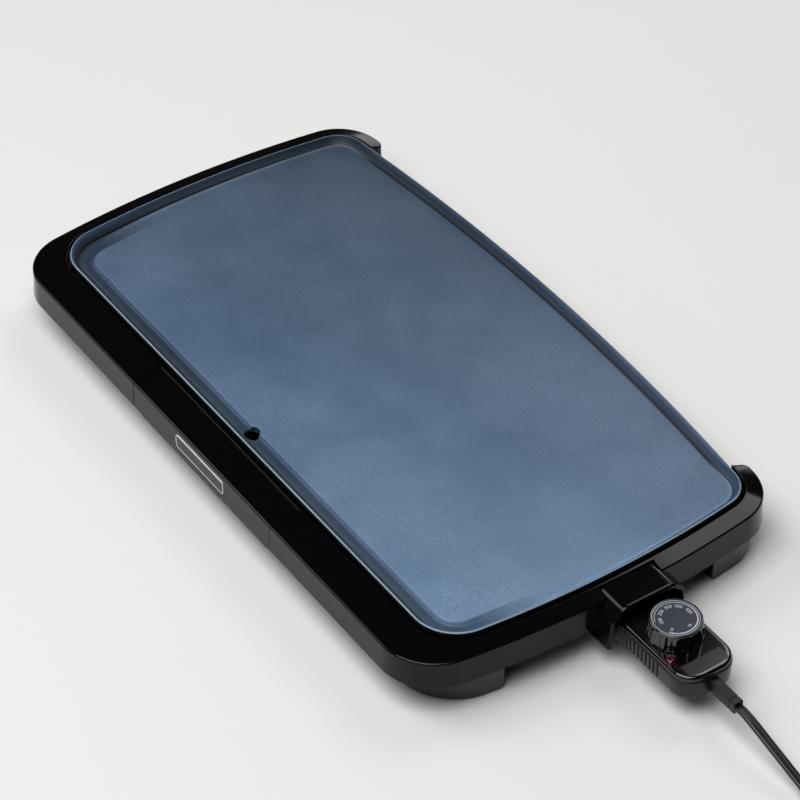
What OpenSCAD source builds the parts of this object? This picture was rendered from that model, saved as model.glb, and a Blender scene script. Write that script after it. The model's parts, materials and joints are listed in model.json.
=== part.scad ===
// Electric griddle: a non-stick plate in a moulded frame, with a drip tray
// that pulls out of the front and a plug-in temperature probe on the right.
// Millimetres, +Z up, +X towards the probe, -Y towards the drip tray.

/* [Griddle plate] */
// Length of the plate between the middles of its bowed ends
plate_len = 541; // [500:1:560]
// Depth of the plate between its straight front and the back corners
plate_dep = 270.6; // [260:0.2:280]
// How far each end bows outwards
end_bow = 10.3; // [6:0.1:14]
// How far the back edge bows outwards
back_bow = 16.6; // [10:0.1:20]
// Corner radius at the front of the plate
plate_front_r = 35; // [30:1:40]
// Corner radius at the back of the plate
plate_back_r = 25; // [22:1:30]
// Height of the plate's rim above the table
rim_z = 53; // [52:1:56]
// Depth of the cooking surface below the rim
pan_depth = 8; // [7:0.5:9]
// Radius of the drain hole
drain_r = 6; // [4:0.5:7]

/* [Frame] */
// How far the frame stands out past the ends and back of the plate
frame_out = 16; // [15:0.5:20]
// How far the frame stands out past the front of the plate
frame_front = 30.2; // [28:0.2:34]
// Height of the skirt's lower edge above the table
skirt_z = 25; // [22:1:27]
// Wall thickness of the mouldings
wall = 2.5; // [2:0.1:3]
// Half of the gap between the frame's two rear ends
ear_x = 231; // [225:1:236]

/* [Drip tray] */
// Width of the drip tray's front
tray_w = 188; // [170:1:200]
// How far the basin reaches in from the front
basin_reach = 86; // [70:1:88]

/* [Temperature probe] */
// Distance of the probe's axis behind the middle of the plate
probe_y = 12; // [8:0.5:16]
// Width of the probe's housing
probe_w = 49.2; // [46:0.2:52]
// Height of the contact pins and the sensor rod above the table
pin_z = 27; // [26.5:0.1:27.5]
// Distance between the two contact pins
pin_pitch = 30; // [29:0.5:31]
// Radius of a contact pin
pin_r = 2.5; // [2.4:0.05:2.6]
// Radius of the dial at its foot
dial_r = 20.3; // [19:0.1:20.5]

/* [Mains lead] */
// Width of the flat two-core lead
lead_w = 7.2; // [6.8:0.1:7.4]
// Thickness of the flat two-core lead
lead_t = 3.8; // [3.4:0.1:4]
// Radius of the outermost turn of the coil
coil_r = 42.5; // [41:0.5:44]
// Radius of the innermost turn of the coil
coil_inner_r = 29.5; // [29:0.5:31]

/* [Hidden] */
$fn = 48;
eps = 0.01;

// Outline arcs of the plate: the ends and the back are shallow arcs
half_dep = plate_dep / 2;
half_len = plate_len / 2;
end_r = (half_dep * half_dep + end_bow * end_bow) / (2 * end_bow);
end_cx = half_len - end_r;
chord_x = half_len - end_bow;
back_r = (chord_x * chord_x + back_bow * back_bow) / (2 * back_bow);
back_cy = half_dep + back_bow - back_r;

// Heights
deck_in_z = rim_z - 2;
deck_out_z = rim_z - 5;
floor_z = rim_z - pan_depth;
plate_z = floor_z - 4;
shelf_t = 2.5;
shelf_z = plate_z - shelf_t;
flange_z = rim_z - 5;
flare = 1;
frame_front_r = 44;
frame_back_r = 40;

// Tray
tray_gap = 0.5;
lip_y = -(half_dep + 3 + wall);
tray_front_y = -(half_dep + frame_front);
basin_w = 176;
basin_z = 19;
basin_top = shelf_z - 1.5;
basin_back_y = tray_front_y + basin_reach;
drain_y = -(half_dep - 14.8);

// Element loop, seen from above
element_r = 3.3;
element_z = plate_z - element_r - 0.1;
loop_r = 40;
loop_x0 = -205;
loop_x1 = 195;
loop_dy = 70;
lead_bend_r = 12;
lead_bend_a = acos(1 - (element_z - pin_z) / (2 * lead_bend_r));
lead_bend_x = 216;
sheath_end = 257;

// Probe
guard_x0 = half_len + 6;
guard_x1 = guard_x0 + 26;
guard_top = rim_z - 3.5;
guard_low = 16;
probe_x0 = 284;
probe_x1 = 375;
probe_low = 18;
probe_part = 34.5;
probe_top = 38;
probe_r = 17;
probe_wall = 2;
shaft_x = 331;
lamp_x = 351;
lamp_y = probe_y - 19;
relief_x1 = 401.5;
relief_h = 10;
relief_w = 8;
lead_exit_z = 26;
post_r = 3.6;
posts = [[322, -18], [322, 18], [364, -13], [364, 13]];

// Coil of the lead and the plug beside it
coil_x = 556;
coil_y = probe_y - coil_r;
coil_lift = 0.6;
coil_h = lead_w + lead_t + 0.2;
tail_x = coil_x + coil_inner_r;
tail_y0 = -67.2;
plug_y = -76;
plug_z = 8;
plug_len = 30;

// Route of the lead from the strain relief to the coil
lead_route = [
    [401.5, 12, 26], [407, 12, 26], [416, 12, 24.5], [426, 12, 22],
    [436, 12, 19.5], [447, 12, 16.8], [458, 12, 14], [469, 12, 11.2],
    [480, 12, 8.5], [491, 12, 6.1], [502, 12, 4.3], [513, 12, 3.1],
    [524, 12, 2.4], [534, 12, 2.2]
];
// Route of the tail from the top of the coil to the plug
tail_route = [
    [tail_x, tail_y0, 9.8], [tail_x, tail_y0 - 3, 9.4],
    [tail_x, tail_y0 - 6, 8.4], [tail_x, plug_y + 0.8, plug_z], [tail_x, plug_y, plug_z]
];

// Rounding of the rear ends, seen from above
ear_r = 8;
// Middle of the griddle and its probe, which the origin stands under
back_ear_y = back_cy + sqrt(pow(back_r + frame_out + flare, 2) - pow(ear_x + ear_r, 2));
mid_x = (relief_x1 - half_len - frame_out - flare) / 2;
mid_y = (back_ear_y + tray_front_y - flare) / 2;

// Centre of a front corner's arc, for an outline pushed out by off
function front_corner(off, front, r) =
    let (y = -front + r, big = end_r + off - r)
    [end_cx + sqrt(big * big - y * y), y];

// Centre of a back corner's arc: it touches the end arc and the back arc
function back_corner(off, r) =
    let (
        a = end_r + off - r,
        b = back_r + off - r,
        dx = -end_cx,
        dy = back_cy,
        d = norm([dx, dy]),
        along = (a * a - b * b + d * d) / (2 * d),
        up = sqrt(a * a - along * along)
    )
    [end_cx + along * dx / d - up * dy / d, along * dy / d + up * dx / d];

// Points of an arc from angle a0 to a1 in n steps
function arc(c, r, a0, a1, n) =
    [for (i = [0 : n]) let (a = a0 + (a1 - a0) * i / n) [c[0] + r * cos(a), c[1] + r * sin(a)]];

// Right half of the bowed outline, from the middle of the front to the back
function half_outline(off, front, rf, rb) =
    let (
        f = front_corner(off, front, rf),
        b = back_corner(off, rb),
        a0 = atan2(f[1], f[0] - end_cx),
        a1 = atan2(b[1], b[0] - end_cx),
        a2 = atan2(b[1] - back_cy, b[0])
    )
    concat(
        arc(f, rf, -90, a0, 7),
        arc([end_cx, 0], end_r + off, a0 + (a1 - a0) / 8, a1 - (a1 - a0) / 8, 6),
        arc(b, rb, a1, a2, 7),
        arc([0, back_cy], back_r + off, a2 + (90 - a2) / 5, 90, 4)
    );

// The whole outline: the right half and its mirror image
function outline(off, front, rf, rb) =
    let (h = half_outline(off, front, rf, rb), n = len(h))
    concat(h, [for (i = [1 : n - 1]) [-h[n - 1 - i][0], h[n - 1 - i][1]]]);

// Outline of the plate pushed out by off
function plate_line(off) =
    outline(off, half_dep + off, plate_front_r + off, plate_back_r + off);

// Outline of the frame pushed out by off
function frame_line(off) =
    outline(frame_out + off, half_dep + frame_front + off, frame_front_r + off,
        frame_back_r + off);

// Places on the plate's outline, off millimetres out from it
function end_x_at(y, off) = end_cx + sqrt(pow(end_r + off, 2) - y * y);
function back_y_at(x, off) = back_cy + sqrt(pow(back_r + off, 2) - x * x);

// Corners: +1 or -1 for right or left, and for back or front
corners = [[-1, -1], [1, -1], [-1, 1], [1, 1]];
leg_x = 222;
function leg_y(side) = side < 0 ? 93 : 90;
function leg_shift(side) = side < 0 ? -2 : -4;
function end_screw(c) = [c[0] * end_x_at(99, -1), c[1] * 99];
function side_screw(c) =
    c[1] < 0 ? [c[0] * 230, -(half_dep - 1)] : [c[0] * 240, back_y_at(240, -1)];
function pad_spot(c) =
    let (
        b = c[1] < 0 ? front_corner(0, half_dep, plate_front_r) : back_corner(0, plate_back_r),
        r = (c[1] < 0 ? plate_front_r : plate_back_r) + 0.5
    )
    [c[0] * (b[0] + r * cos(45)), b[1] + c[1] * r * sin(45)];

// Everything is drawn about the plate's middle and moved over the origin
module seat() {
    translate([-mid_x, -mid_y, 0]) children();
}

function move(line, by) = [for (p = line) p + by];

module slab(line, z0, z1) {
    translate([0, 0, z0]) linear_extrude(z1 - z0) polygon(line);
}

module ring(outer, inner, z0, z1) {
    translate([0, 0, z0]) linear_extrude(z1 - z0) difference() {
        polygon(outer);
        polygon(inner);
    }
}

module block(lo, hi) {
    translate(lo) cube(hi - lo);
}

module post(x, y, z0, z1, r) {
    translate([x, y, z0]) cylinder(h = z1 - z0, r = r);
}

// A round bar along X
module bar_x(x0, x1, y, z, r) {
    translate([x0, y, z]) rotate([0, 90, 0]) cylinder(h = x1 - x0, r = r);
}

// A screw whose shank points up from the underside of its head
module screw(x, y, z_head, z_tip, r_head, h_head, r) {
    post(x, y, z_head - h_head, z_head, r_head);
    post(x, y, z_head - eps, z_tip, r);
}

// ---------------------------------------------------------------- plate

// Cast rails on both sides of the element's straight runs
module element_rails() {
    low = plate_z - 4;
    for (t = [-1, 1]) {
        m = t * (element_r + 1.7);
        for (s = [-1, 1])
            block([loop_x0 + loop_r, probe_y + s * loop_dy + m - 1.5, low],
                [loop_x1 - loop_r, probe_y + s * loop_dy + m + 1.5, floor_z - 2]);
        block([loop_x0 + m - 1.5, probe_y - loop_dy + loop_r, low],
            [loop_x0 + m + 1.5, probe_y + loop_dy - loop_r, floor_z - 2]);
    }
}

module griddle_plate() {
    color([0.33, 0.40, 0.48]) difference() {
        union() {
            slab(plate_line(0), flange_z, rim_z);
            slab(plate_line(-6), plate_z, flange_z);
            element_rails();
            // Cast well for the sensor rod
            block([150, probe_y - 8, pin_z - 4.5], [256, probe_y + 8, floor_z - 2]);
            // Spout under the drain hole
            post(0, drain_y, shelf_z + 0.2, floor_z - 3, drain_r + 2);
        }
        // Pan with stepped sides
        slab(plate_line(-2.5), rim_z - 2, rim_z + 1);
        slab(plate_line(-5), rim_z - 4, rim_z);
        slab(plate_line(-8), rim_z - 6, rim_z);
        slab(plate_line(-11), floor_z, rim_z);
        // Grease channel along the front
        block([-235, -(half_dep - 11.5), floor_z - 2], [235, -(half_dep - 20), rim_z]);
        post(0, drain_y, shelf_z, rim_z, drain_r);
        bar_x(180, 257, probe_y, pin_z, 3.3);
        for (s = [-1, 1]) {
            for (e = [-1, 1]) post(e * end_x_at(60, -9), s * 60, plate_z - 1, plate_z + 2.1, 1.6);
            post(250, probe_y + s * 25, plate_z - 1, plate_z + 2.4, 1.4);
        }
    }
}

module plate_screws() {
    color("silver") for (e = [-1, 1]) for (s = [-1, 1])
        screw(e * end_x_at(60, -9), s * 60, shelf_z, plate_z + 1.9, 3.4, 2.4, 1.6);
}

// ---------------------------------------------------------------- element

// Quarter of a round tube lying flat, about c, from angle a0
module flat_bend(c, r, a0, sweep) {
    translate([c[0], c[1], element_z]) rotate([0, 0, a0])
        rotate_extrude(angle = sweep) translate([r, 0]) circle(element_r);
}

module bar_y(x, y0, y1, z, r) {
    translate([x, y1, z]) rotate([90, 0, 0]) cylinder(h = y1 - y0, r = r);
}

// Part of a round tube that bends in the XZ plane, from angle a0
module upright_bend(x, y, z, a0) {
    translate([x, y, z]) rotate([90, 0, 0]) rotate([0, 0, a0])
        rotate_extrude(angle = lead_bend_a) translate([lead_bend_r, 0]) circle(element_r);
}

// The element's cold end: a turn out of the loop, then an S down to the pins
module cold_end(s) {
    y = probe_y + s * pin_pitch / 2;
    run = 2 * lead_bend_r * sin(lead_bend_a);
    flat_bend([loop_x1 + 15, y + s * 15], 15, s > 0 ? 180 : 90, 90);
    bar_x(loop_x1 + 15, lead_bend_x, y, element_z, element_r);
    upright_bend(lead_bend_x, y, element_z - lead_bend_r, 90 - lead_bend_a);
    upright_bend(lead_bend_x + run, y, pin_z + lead_bend_r, 270 - lead_bend_a);
    bar_x(lead_bend_x + run, sheath_end, y, pin_z, element_r);
}

module heating_element() {
    y0 = probe_y - loop_dy;
    y1 = probe_y + loop_dy;
    color([0.36, 0.35, 0.34]) {
        bar_x(loop_x0 + loop_r, loop_x1 - loop_r, y0, element_z, element_r);
        bar_x(loop_x0 + loop_r, loop_x1 - loop_r, y1, element_z, element_r);
        bar_y(loop_x0, y0 + loop_r, y1 - loop_r, element_z, element_r);
        flat_bend([loop_x0 + loop_r, y0 + loop_r], loop_r, 180, 90);
        flat_bend([loop_x0 + loop_r, y1 - loop_r], loop_r, 90, 90);
        flat_bend([loop_x1 - loop_r, y0 + loop_r], loop_r, 270, 90);
        flat_bend([loop_x1 - loop_r, y1 - loop_r], loop_r, 0, 90);
        for (s = [-1, 1]) cold_end(s);
    }
}

module terminal_pins() {
    color("silver") for (s = [-1, 1]) {
        y = probe_y + s * pin_pitch / 2;
        bar_x(sheath_end, 299, y, pin_z, pin_r);
        translate([299 - eps, y, pin_z]) rotate([0, 90, 0])
            cylinder(h = 1.5, r1 = pin_r, r2 = pin_r - 1);
    }
}

module terminal_insulators() {
    color("ivory") for (s = [-1, 1]) difference() {
        union() {
            bar_x(sheath_end + 0.5, 265, probe_y + s * pin_pitch / 2, pin_z, 4.4);
            bar_x(260.7, 262.2, probe_y + s * pin_pitch / 2, pin_z, 6);
        }
        bar_x(250, 270, probe_y + s * pin_pitch / 2, pin_z, pin_r);
    }
}

module terminal_bracket() {
    color("gainsboro") difference() {
        union() {
            block([259.2, probe_y - 32, pin_z - 9], [260.7, probe_y + 32, plate_z]);
            for (s = [-1, 1])
                block([242, probe_y + s * 25 - 6, plate_z - 1.5], [260.7, probe_y + s * 25 + 6, plate_z]);
        }
        for (s = [-1, 1]) {
            bar_x(258, 262, probe_y + s * pin_pitch / 2, pin_z, 4.4);
            post(250, probe_y + s * 25, plate_z - 3, plate_z + 1, 1.6);
        }
        bar_x(258, 262, probe_y, pin_z, 3.6);
    }
}

module bracket_screws() {
    color("silver") for (s = [-1, 1])
        screw(250, probe_y + s * 25, plate_z - 1.5, plate_z + 2.2, 2.8, 1.8, 1.4);
}

// ---------------------------------------------------------------- frame

module base_frame() {
    color([0.09, 0.09, 0.10]) {
        difference() {
            union() {
                // Deck, in steps that fall towards the outside
                for (i = [0 : 3])
                    ring(frame_line(-4 * i), plate_line(3), deck_out_z - wall + i, deck_out_z + i);
                ring(frame_line(0), frame_line(-wall), skirt_z + 5, deck_out_z);
                ring(frame_line(flare), frame_line(-wall), skirt_z, skirt_z + 5);
                // Lip beside the plate and the shelf that it stands on
                ring(plate_line(3 + wall), plate_line(3), shelf_z, deck_in_z);
                ring(plate_line(3 + wall), plate_line(-12), shelf_z, plate_z);
                for (c = corners) for (p = [end_screw(c), side_screw(c)])
                    post(p[0], p[1], shelf_z, plate_z + 5, 4);
                // Ties from the skirt to the lip along the front
                for (x = [-190, -140, 140, 190])
                    block([x - 1, tray_front_y + 1, shelf_z], [x + 1, lip_y + 1, deck_out_z]);
                for (s = [-1, 1])
                    bar_x(281.3, 284, probe_y + s * 40, 36, 4);
                // Walls that close the rear ends, outside the legs
                intersection() {
                    union() {
                        ring(frame_line(-1), plate_line(9.4), skirt_z, deck_out_z);
                        ring(frame_line(-1), plate_line(4), shelf_z + 0.2, deck_out_z);
                    }
                    for (e = [-1, 1])
                        translate([e * (ear_x + 1.2) - 1.2, 120, 0]) cube([2.4, 60, 60]);
                }
            }
            // The back stays open between the two rear ends
            translate([0, 0, skirt_z - 1]) linear_extrude(40) difference() {
                union() {
                    translate([-ear_x, 100]) square([2 * ear_x, 100]);
                    // Each rear end is rounded off at its outer corner
                    for (e = [-1, 1]) translate([e * (ear_x + ear_r), back_ear_y - ear_r]) difference() {
                        translate([e > 0 ? -ear_r - 1 : 0, 0]) square(ear_r + 1);
                        circle(ear_r);
                    }
                }
                polygon(plate_line(-1));
            }
            // Bay for the drip tray's front
            block([-tray_w / 2 - tray_gap, -220, skirt_z - 1], [tray_w / 2 + tray_gap, lip_y, rim_z]);
            // Bay for the socket guard, and a gap in the shelf for the terminals
            translate([guard_x0 - 0.3, probe_y, 0]) rotate([90, 0, 90]) linear_extrude(20)
                polygon([[-34.4, guard_low], [-31.9, rim_z - 15], [-30.9, rim_z - 12], [-21.3, guard_top + 0.3],
                    [-21.3, rim_z], [21.3, rim_z], [21.3, guard_top + 0.3], [30.9, rim_z - 12],
                    [31.9, rim_z - 15], [34.4, guard_low]]);
            block([252, probe_y - 35.5, shelf_z - 1], [half_len + 3, probe_y + 35.5, plate_z + eps]);
            post(0, drain_y, shelf_z - 1, plate_z + 1, drain_r + 3);
            for (c = corners) for (p = [end_screw(c), side_screw(c)])
                post(p[0], p[1], shelf_z - 1, plate_z + 4, 1.75);
            for (e = [-1, 1]) for (s = [-1, 1])
                post(e * end_x_at(60, -9), s * 60, shelf_z - 1, plate_z + 1, 1.9);
            for (s = [-1, 1]) {
                post(s * 98.6, -(half_dep - 3), shelf_z - 1, plate_z + 1, 1.5);
                bar_x(280, 283.6, probe_y + s * 40, 36, 1.5);
            }
        }
        // Wall that closes the frame under the back of the plate
        translate([0, 0, skirt_z]) linear_extrude(plate_z - skirt_z) intersection() {
            difference() {
                polygon(plate_line(-1));
                polygon(plate_line(-3.5));
            }
            translate([-leg_x + 0.3, 100]) square([2 * leg_x - 0.6, 100]);
        }
    }
}

// Cross-section of the socket guard, seen along X: s shrinks it for the inside
module guard_section(t) {
    top = guard_top - t;
    polygon([
        [-34 + t, guard_low], [-31.5 + t, rim_z - 15], [-30.5 + t, rim_z - 12.2], [-21, top],
        [21, top], [30.5 - t, rim_z - 12.2], [31.5 - t, rim_z - 15], [34 - t, guard_low]
    ]);
}

module socket_guard() {
    color([0.10, 0.10, 0.11]) difference() {
        union() {
            translate([guard_x0, probe_y, 0]) rotate([90, 0, 90])
                linear_extrude(guard_x1 - guard_x0) guard_section(0);
            for (s = [-1, 1])
                block([278.6, probe_y + s * 37.5 - 7.5, 29], [281.1, probe_y + s * 37.5 + 7.5, 43]);
        }
        translate([guard_x0 - 1, probe_y, -1]) rotate([90, 0, 90])
            linear_extrude(guard_x1 - guard_x0 + 2) union() {
                translate([0, 1]) guard_section(3.2);
                translate([-30.8, guard_low - 2]) square([61.6, 10]);
            }
        for (s = [-1, 1]) bar_x(278, 282, probe_y + s * 40, 36, 1.7);
    }
}

module guard_screws() {
    color("silver") for (s = [-1, 1]) {
        bar_x(276.4, 278.6, probe_y + s * 40, 36, 3);
        bar_x(278.6 - eps, 283.4, probe_y + s * 40, 36, 1.5);
    }
}

module leg(c) {
    color([0.07, 0.07, 0.08]) difference() {
        intersection() {
            ring(move(plate_line(13), [0, leg_shift(c[1])]), plate_line(-8), 2, shelf_z);
            translate([c[0] * (leg_x + 50) - 50, c[1] * (leg_y(c[1]) + 50) - 50, 0]) cube([100, 100, 60]);
        }
        for (p = [end_screw(c), side_screw(c)]) {
            post(p[0], p[1], 1, 30, 4);
            post(p[0], p[1], 29, shelf_z + 1, 2);
        }
        post(pad_spot(c)[0], pad_spot(c)[1], 1, 4, 7);
    }
}

module foot_pad(c) {
    color([0.16, 0.16, 0.17]) {
        post(pad_spot(c)[0], pad_spot(c)[1], 1, 4, 7);
        translate([pad_spot(c)[0], pad_spot(c)[1], 0]) cylinder(h = 1 + eps, r1 = 6.2, r2 = 7);
    }
}

module leg_screws() {
    color("silver") for (c = corners) for (p = [end_screw(c), side_screw(c)])
        screw(p[0], p[1], 30, plate_z + 3.8, 3.4, 2.4, 1.75);
}

// ---------------------------------------------------------------- drip tray

// A C-shaped runner under the shelf, on the side s
module tray_runner(s) {
    color([0.62, 0.63, 0.65]) difference() {
        union() {
            block([s > 0 ? 93.2 : -96.2, lip_y + 1, shelf_z - 7.5], [s > 0 ? 96.2 : -93.2, basin_back_y + 3, shelf_z]);
            block([s > 0 ? 88.9 : -96.2, lip_y + 1, shelf_z - 7.5], [s > 0 ? 96.2 : -88.9, basin_back_y + 3, shelf_z - 5]);
            block([s > 0 ? 88.9 : -101, lip_y + 1, shelf_z - 1.2], [s > 0 ? 101 : -88.9, basin_back_y + 3, shelf_z]);
        }
        post(s * 98.6, -(half_dep - 3), shelf_z - 2, shelf_z + 1, 1.7);
    }
}

module runner_screws() {
    color("silver") for (s = [-1, 1])
        screw(s * 98.6, -(half_dep - 3), shelf_z - 1.2, plate_z - 0.2, 2, 1.8, 1.5);
}

module drip_tray() {
    hw = tray_w / 2;
    deck_back = lip_y - 0.4;
    color([0.09, 0.09, 0.10]) {
        // Front and top, flush with the frame
        block([-hw, tray_front_y, skirt_z + 5], [hw, tray_front_y + 3, deck_out_z]);
        block([-hw, tray_front_y - flare, skirt_z], [hw, tray_front_y + 3, skirt_z + 5 + eps]);
        for (i = [0 : 3])
            block([-hw, tray_front_y + 4 * i, deck_out_z - wall + i], [hw, deck_back, deck_out_z + i]);
        // Stiffening cheeks between the top and the basin
        for (x = [-70, 0, 70])
            block([x - 1, tray_front_y + 2, basin_top - eps], [x + 1, deck_back, deck_out_z]);
        // Basin
        difference() {
            union() {
                block([-basin_w / 2, tray_front_y + 1, basin_z], [basin_w / 2, basin_back_y, basin_top]);
                block([-92.6, tray_front_y + 4, shelf_z - 4.4], [92.6, basin_back_y, shelf_z - 1.8]);
            }
            block([-basin_w / 2 + 2, tray_front_y + 3, basin_z + 2], [basin_w / 2 - 2, basin_back_y - 2, shelf_z]);
        }
    }
}

module tray_badge() {
    color("lightgrey") translate([0, tray_front_y, rim_z - 16])
        rotate([90, 0, 0]) linear_extrude(0.9) {
            square([65 - 4, 12], center = true);
            square([65, 12 - 4], center = true);
            for (x = [-30.5, 30.5]) for (y = [-4, 4]) translate([x, y]) circle(2);
        }
}

// ---------------------------------------------------------------- probe

// Plan of the probe's housing shrunk by t, with a round far end
module probe_plan(t) {
    x1 = probe_x1 - t;
    hw = probe_w / 2 - t;
    r = probe_r - t;
    translate([probe_x0 + t, probe_y - hw]) square([x1 - r - probe_x0 - t, 2 * hw]);
    translate([x1 - r - 1, probe_y - hw + r]) square([r + 1, 2 * (hw - r)]);
    for (s = [-1, 1]) translate([x1 - r, probe_y + s * (hw - r)]) circle(r);
}

module probe_bottom_cover() {
    color([0.12, 0.12, 0.12]) difference() {
        union() {
            difference() {
                translate([0, 0, probe_low]) linear_extrude(probe_part - probe_low) probe_plan(0);
                translate([0, 0, probe_low + 2]) linear_extrude(20) probe_plan(probe_wall);
            }
            for (p = posts) post(p[0], probe_y + p[1], probe_low + 1, probe_part, post_r);
            // Cradles under the contact sleeves
            for (s = [-1, 1])
                block([300, probe_y + s * 15 - 4, probe_low + 1], [303, probe_y + s * 15 + 4, pin_z - 4]);
        }
        for (p = posts) {
            post(p[0], probe_y + p[1], probe_low - 1, probe_low + 2, 3.1);
            post(p[0], probe_y + p[1], probe_low, probe_part + 1, 1.7);
        }
        bar_x(283, 287, probe_y, pin_z, 3);
        for (s = [-1, 1]) bar_x(283, 287, probe_y + s * pin_pitch / 2, pin_z, pin_r + 0.4);
        block([370, probe_y - relief_w / 2, lead_exit_z - relief_h / 2],
            [380, probe_y + relief_w / 2, lead_exit_z + relief_h / 2]);
    }
}

module probe_top_cover() {
    color([0.05, 0.05, 0.06]) difference() {
        union() {
            difference() {
                translate([0, 0, probe_part]) linear_extrude(probe_top - probe_part) probe_plan(0);
                translate([0, 0, probe_part - 1]) linear_extrude(probe_top - probe_part - 1) probe_plan(probe_wall);
            }
            for (p = posts) post(p[0], probe_y + p[1], probe_part, probe_top - 1, post_r);
        }
        for (p = posts) post(p[0], probe_y + p[1], probe_part - 1, probe_top - 1.2, 1.5);
        post(shaft_x, probe_y, probe_part, probe_top + 1, 3.05);
        post(lamp_x, lamp_y, probe_part, probe_top + 1, 4);
        block([358, probe_y - 18, probe_top - 0.5], [370, probe_y + 17, probe_top + 1]);
    }
}

module probe_screws() {
    color("silver") for (p = posts)
        screw(p[0], probe_y + p[1], probe_low + 2, probe_top - 1.4, 3, 1.8, 1.5);
}

module sensor_rod() {
    color("silver") difference() {
        union() {
            bar_x(190, 298, probe_y, pin_z, 3);
            translate([187.5, probe_y, pin_z]) rotate([0, 90, 0]) cylinder(h = 2.6, r1 = 1.6, r2 = 3);
            bar_x(286, 288, probe_y, pin_z, 4.6);
        }
        bar_x(190, 299, probe_y, pin_z, 2.5);
    }
}

module bimetal_strip() {
    color("goldenrod") block([192, probe_y - 1.9, pin_z - 0.4], [308, probe_y + 1.9, pin_z + 0.4]);
}

module contact_sleeves() {
    color("goldenrod") for (s = [-1, 1]) difference() {
        bar_x(286.2, 313, probe_y + s * pin_pitch / 2, pin_z, 4);
        bar_x(286, 311, probe_y + s * pin_pitch / 2, pin_z, pin_r + 0.05);
    }
}

module thermostat_base() {
    color("ivory") block([337, probe_y - 8, probe_low + 2], [352, probe_y + 8, 25]);
}

module fixed_blade() {
    color("peru") block([312, probe_y - 4, 25], [350, probe_y + 4, 25.6]);
}

module blade_spacer() {
    color("ivory") block([339, probe_y - 5, 25.6], [350, probe_y + 5, 28.1]);
}

module moving_blade() {
    color("peru") block([312, probe_y - 4, 28.1], [350, probe_y + 4, 28.7]);
}

module contact_rivets() {
    color("silver") {
        post(316, probe_y, 25.6, 26.7, 1.8);
        post(316, probe_y, 27, 28.1, 1.8);
    }
}

module neon_lamp() {
    color([1, 0.55, 0.35]) {
        post(lamp_x, lamp_y, 22, 30, 2.3);
        translate([lamp_x, lamp_y, 30]) sphere(2.3);
    }
}

module pilot_lens() {
    dome_r = 4;
    color([0.45, 0.02, 0.08]) translate([lamp_x, lamp_y, 0]) difference() {
        union() {
            // Flange, cut flat on the side where the wall of the cover runs
            translate([0, 0, probe_part + 0.1]) intersection() {
                cylinder(h = 1.3, r = 5);
                translate([-5, -2.9, 0]) cube([10, 10, 2]);
            }
            translate([0, 0, probe_part + 1]) cylinder(h = probe_top - probe_part - 0.6, r = dome_r);
            translate([0, 0, probe_top + 0.4]) intersection() {
                translate([0, 0, -2.2]) sphere(sqrt(dome_r * dome_r + 2.2 * 2.2));
                translate([-5, -5, -eps]) cube(10);
            }
        }
        translate([0, 0, probe_part]) cylinder(h = 3, r = 2.8);
    }
}

module strain_relief() {
    color([0.10, 0.10, 0.10]) {
        block([373, probe_y - relief_w / 2, lead_exit_z - relief_h / 2],
            [relief_x1, probe_y + relief_w / 2, lead_exit_z + relief_h / 2]);
        block([370.5, probe_y - 6, lead_exit_z - 5.8], [373, probe_y + 6, lead_exit_z + 6]);
    }
}

// ---------------------------------------------------------------- dial

module dial_knob() {
    low = probe_top + 0.4;
    color([0.05, 0.05, 0.06]) translate([shaft_x, probe_y, 0]) difference() {
        translate([0, 0, low]) cylinder(h = rim_z - low, r1 = dial_r, r2 = dial_r - 1.5, $fn = 72);
        for (i = [0 : 11]) rotate([0, 0, 30 * i + 15])
            translate([dial_r + 2.6, 0, low + 1.4]) cylinder(h = rim_z - low - 3.2, r = 4);
        translate([0, 0, low - 1]) cylinder(h = 9, r = 3.02);
        translate([0, 0, rim_z - 0.8]) cylinder(h = 2, r = 17.2, $fn = 72);
        // Hollow underside
        translate([0, 0, low - 1]) difference() {
            cylinder(h = 8, r = dial_r - 5.4);
            cylinder(h = 9, r = 6);
        }
    }
}

module dial_plate() {
    color([0.11, 0.15, 0.24]) translate([shaft_x, probe_y, rim_z - 0.8]) cylinder(h = 0.6, r = 17.1, $fn = 72);
}

module dial_shaft() {
    color("silver") {
        post(shaft_x, probe_y, 29, probe_top + 8, 3);
        post(shaft_x, probe_y, 32.5, probe_top - 2.4, 5);
    }
}

// ---------------------------------------------------------------- lead

// One ring of the flat lead's section at point i of a route
function lead_ring(route, i) =
    let (
        n = len(route) - 1,
        t = route[min(i + 1, n)] - route[max(i - 1, 0)],
        side = cross(t, [0, 0, 1]) / norm(cross(t, [0, 0, 1])),
        up = cross(side, t) / norm(t)
    )
    [for (k = [0 : 7]) let (a = 45 * k + 22.5)
        route[i] + side * lead_w / 2 * cos(a) / cos(22.5) + up * lead_t / 2 * sin(a) / cos(22.5)];

// A flat tube along a route: rings of eight points joined by quads
module lead_tube(route) {
    n = len(route);
    points = [for (i = [0 : n - 1]) for (q = lead_ring(route, i)) q];
    sides = [for (i = [0 : n - 2]) for (k = [0 : 7])
        [8 * i + k, 8 * (i + 1) + k, 8 * (i + 1) + (k + 1) % 8, 8 * i + (k + 1) % 8]];
    caps = [[for (k = [0 : 7]) k], [for (k = [7 : -1 : 0]) 8 * (n - 1) + k]];
    polyhedron(points, concat(sides, caps));
}

module cord_run() {
    color([0.10, 0.10, 0.10]) lead_tube(lead_route);
}

module cord_tail() {
    color([0.10, 0.10, 0.10]) lead_tube(tail_route);
}

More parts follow.
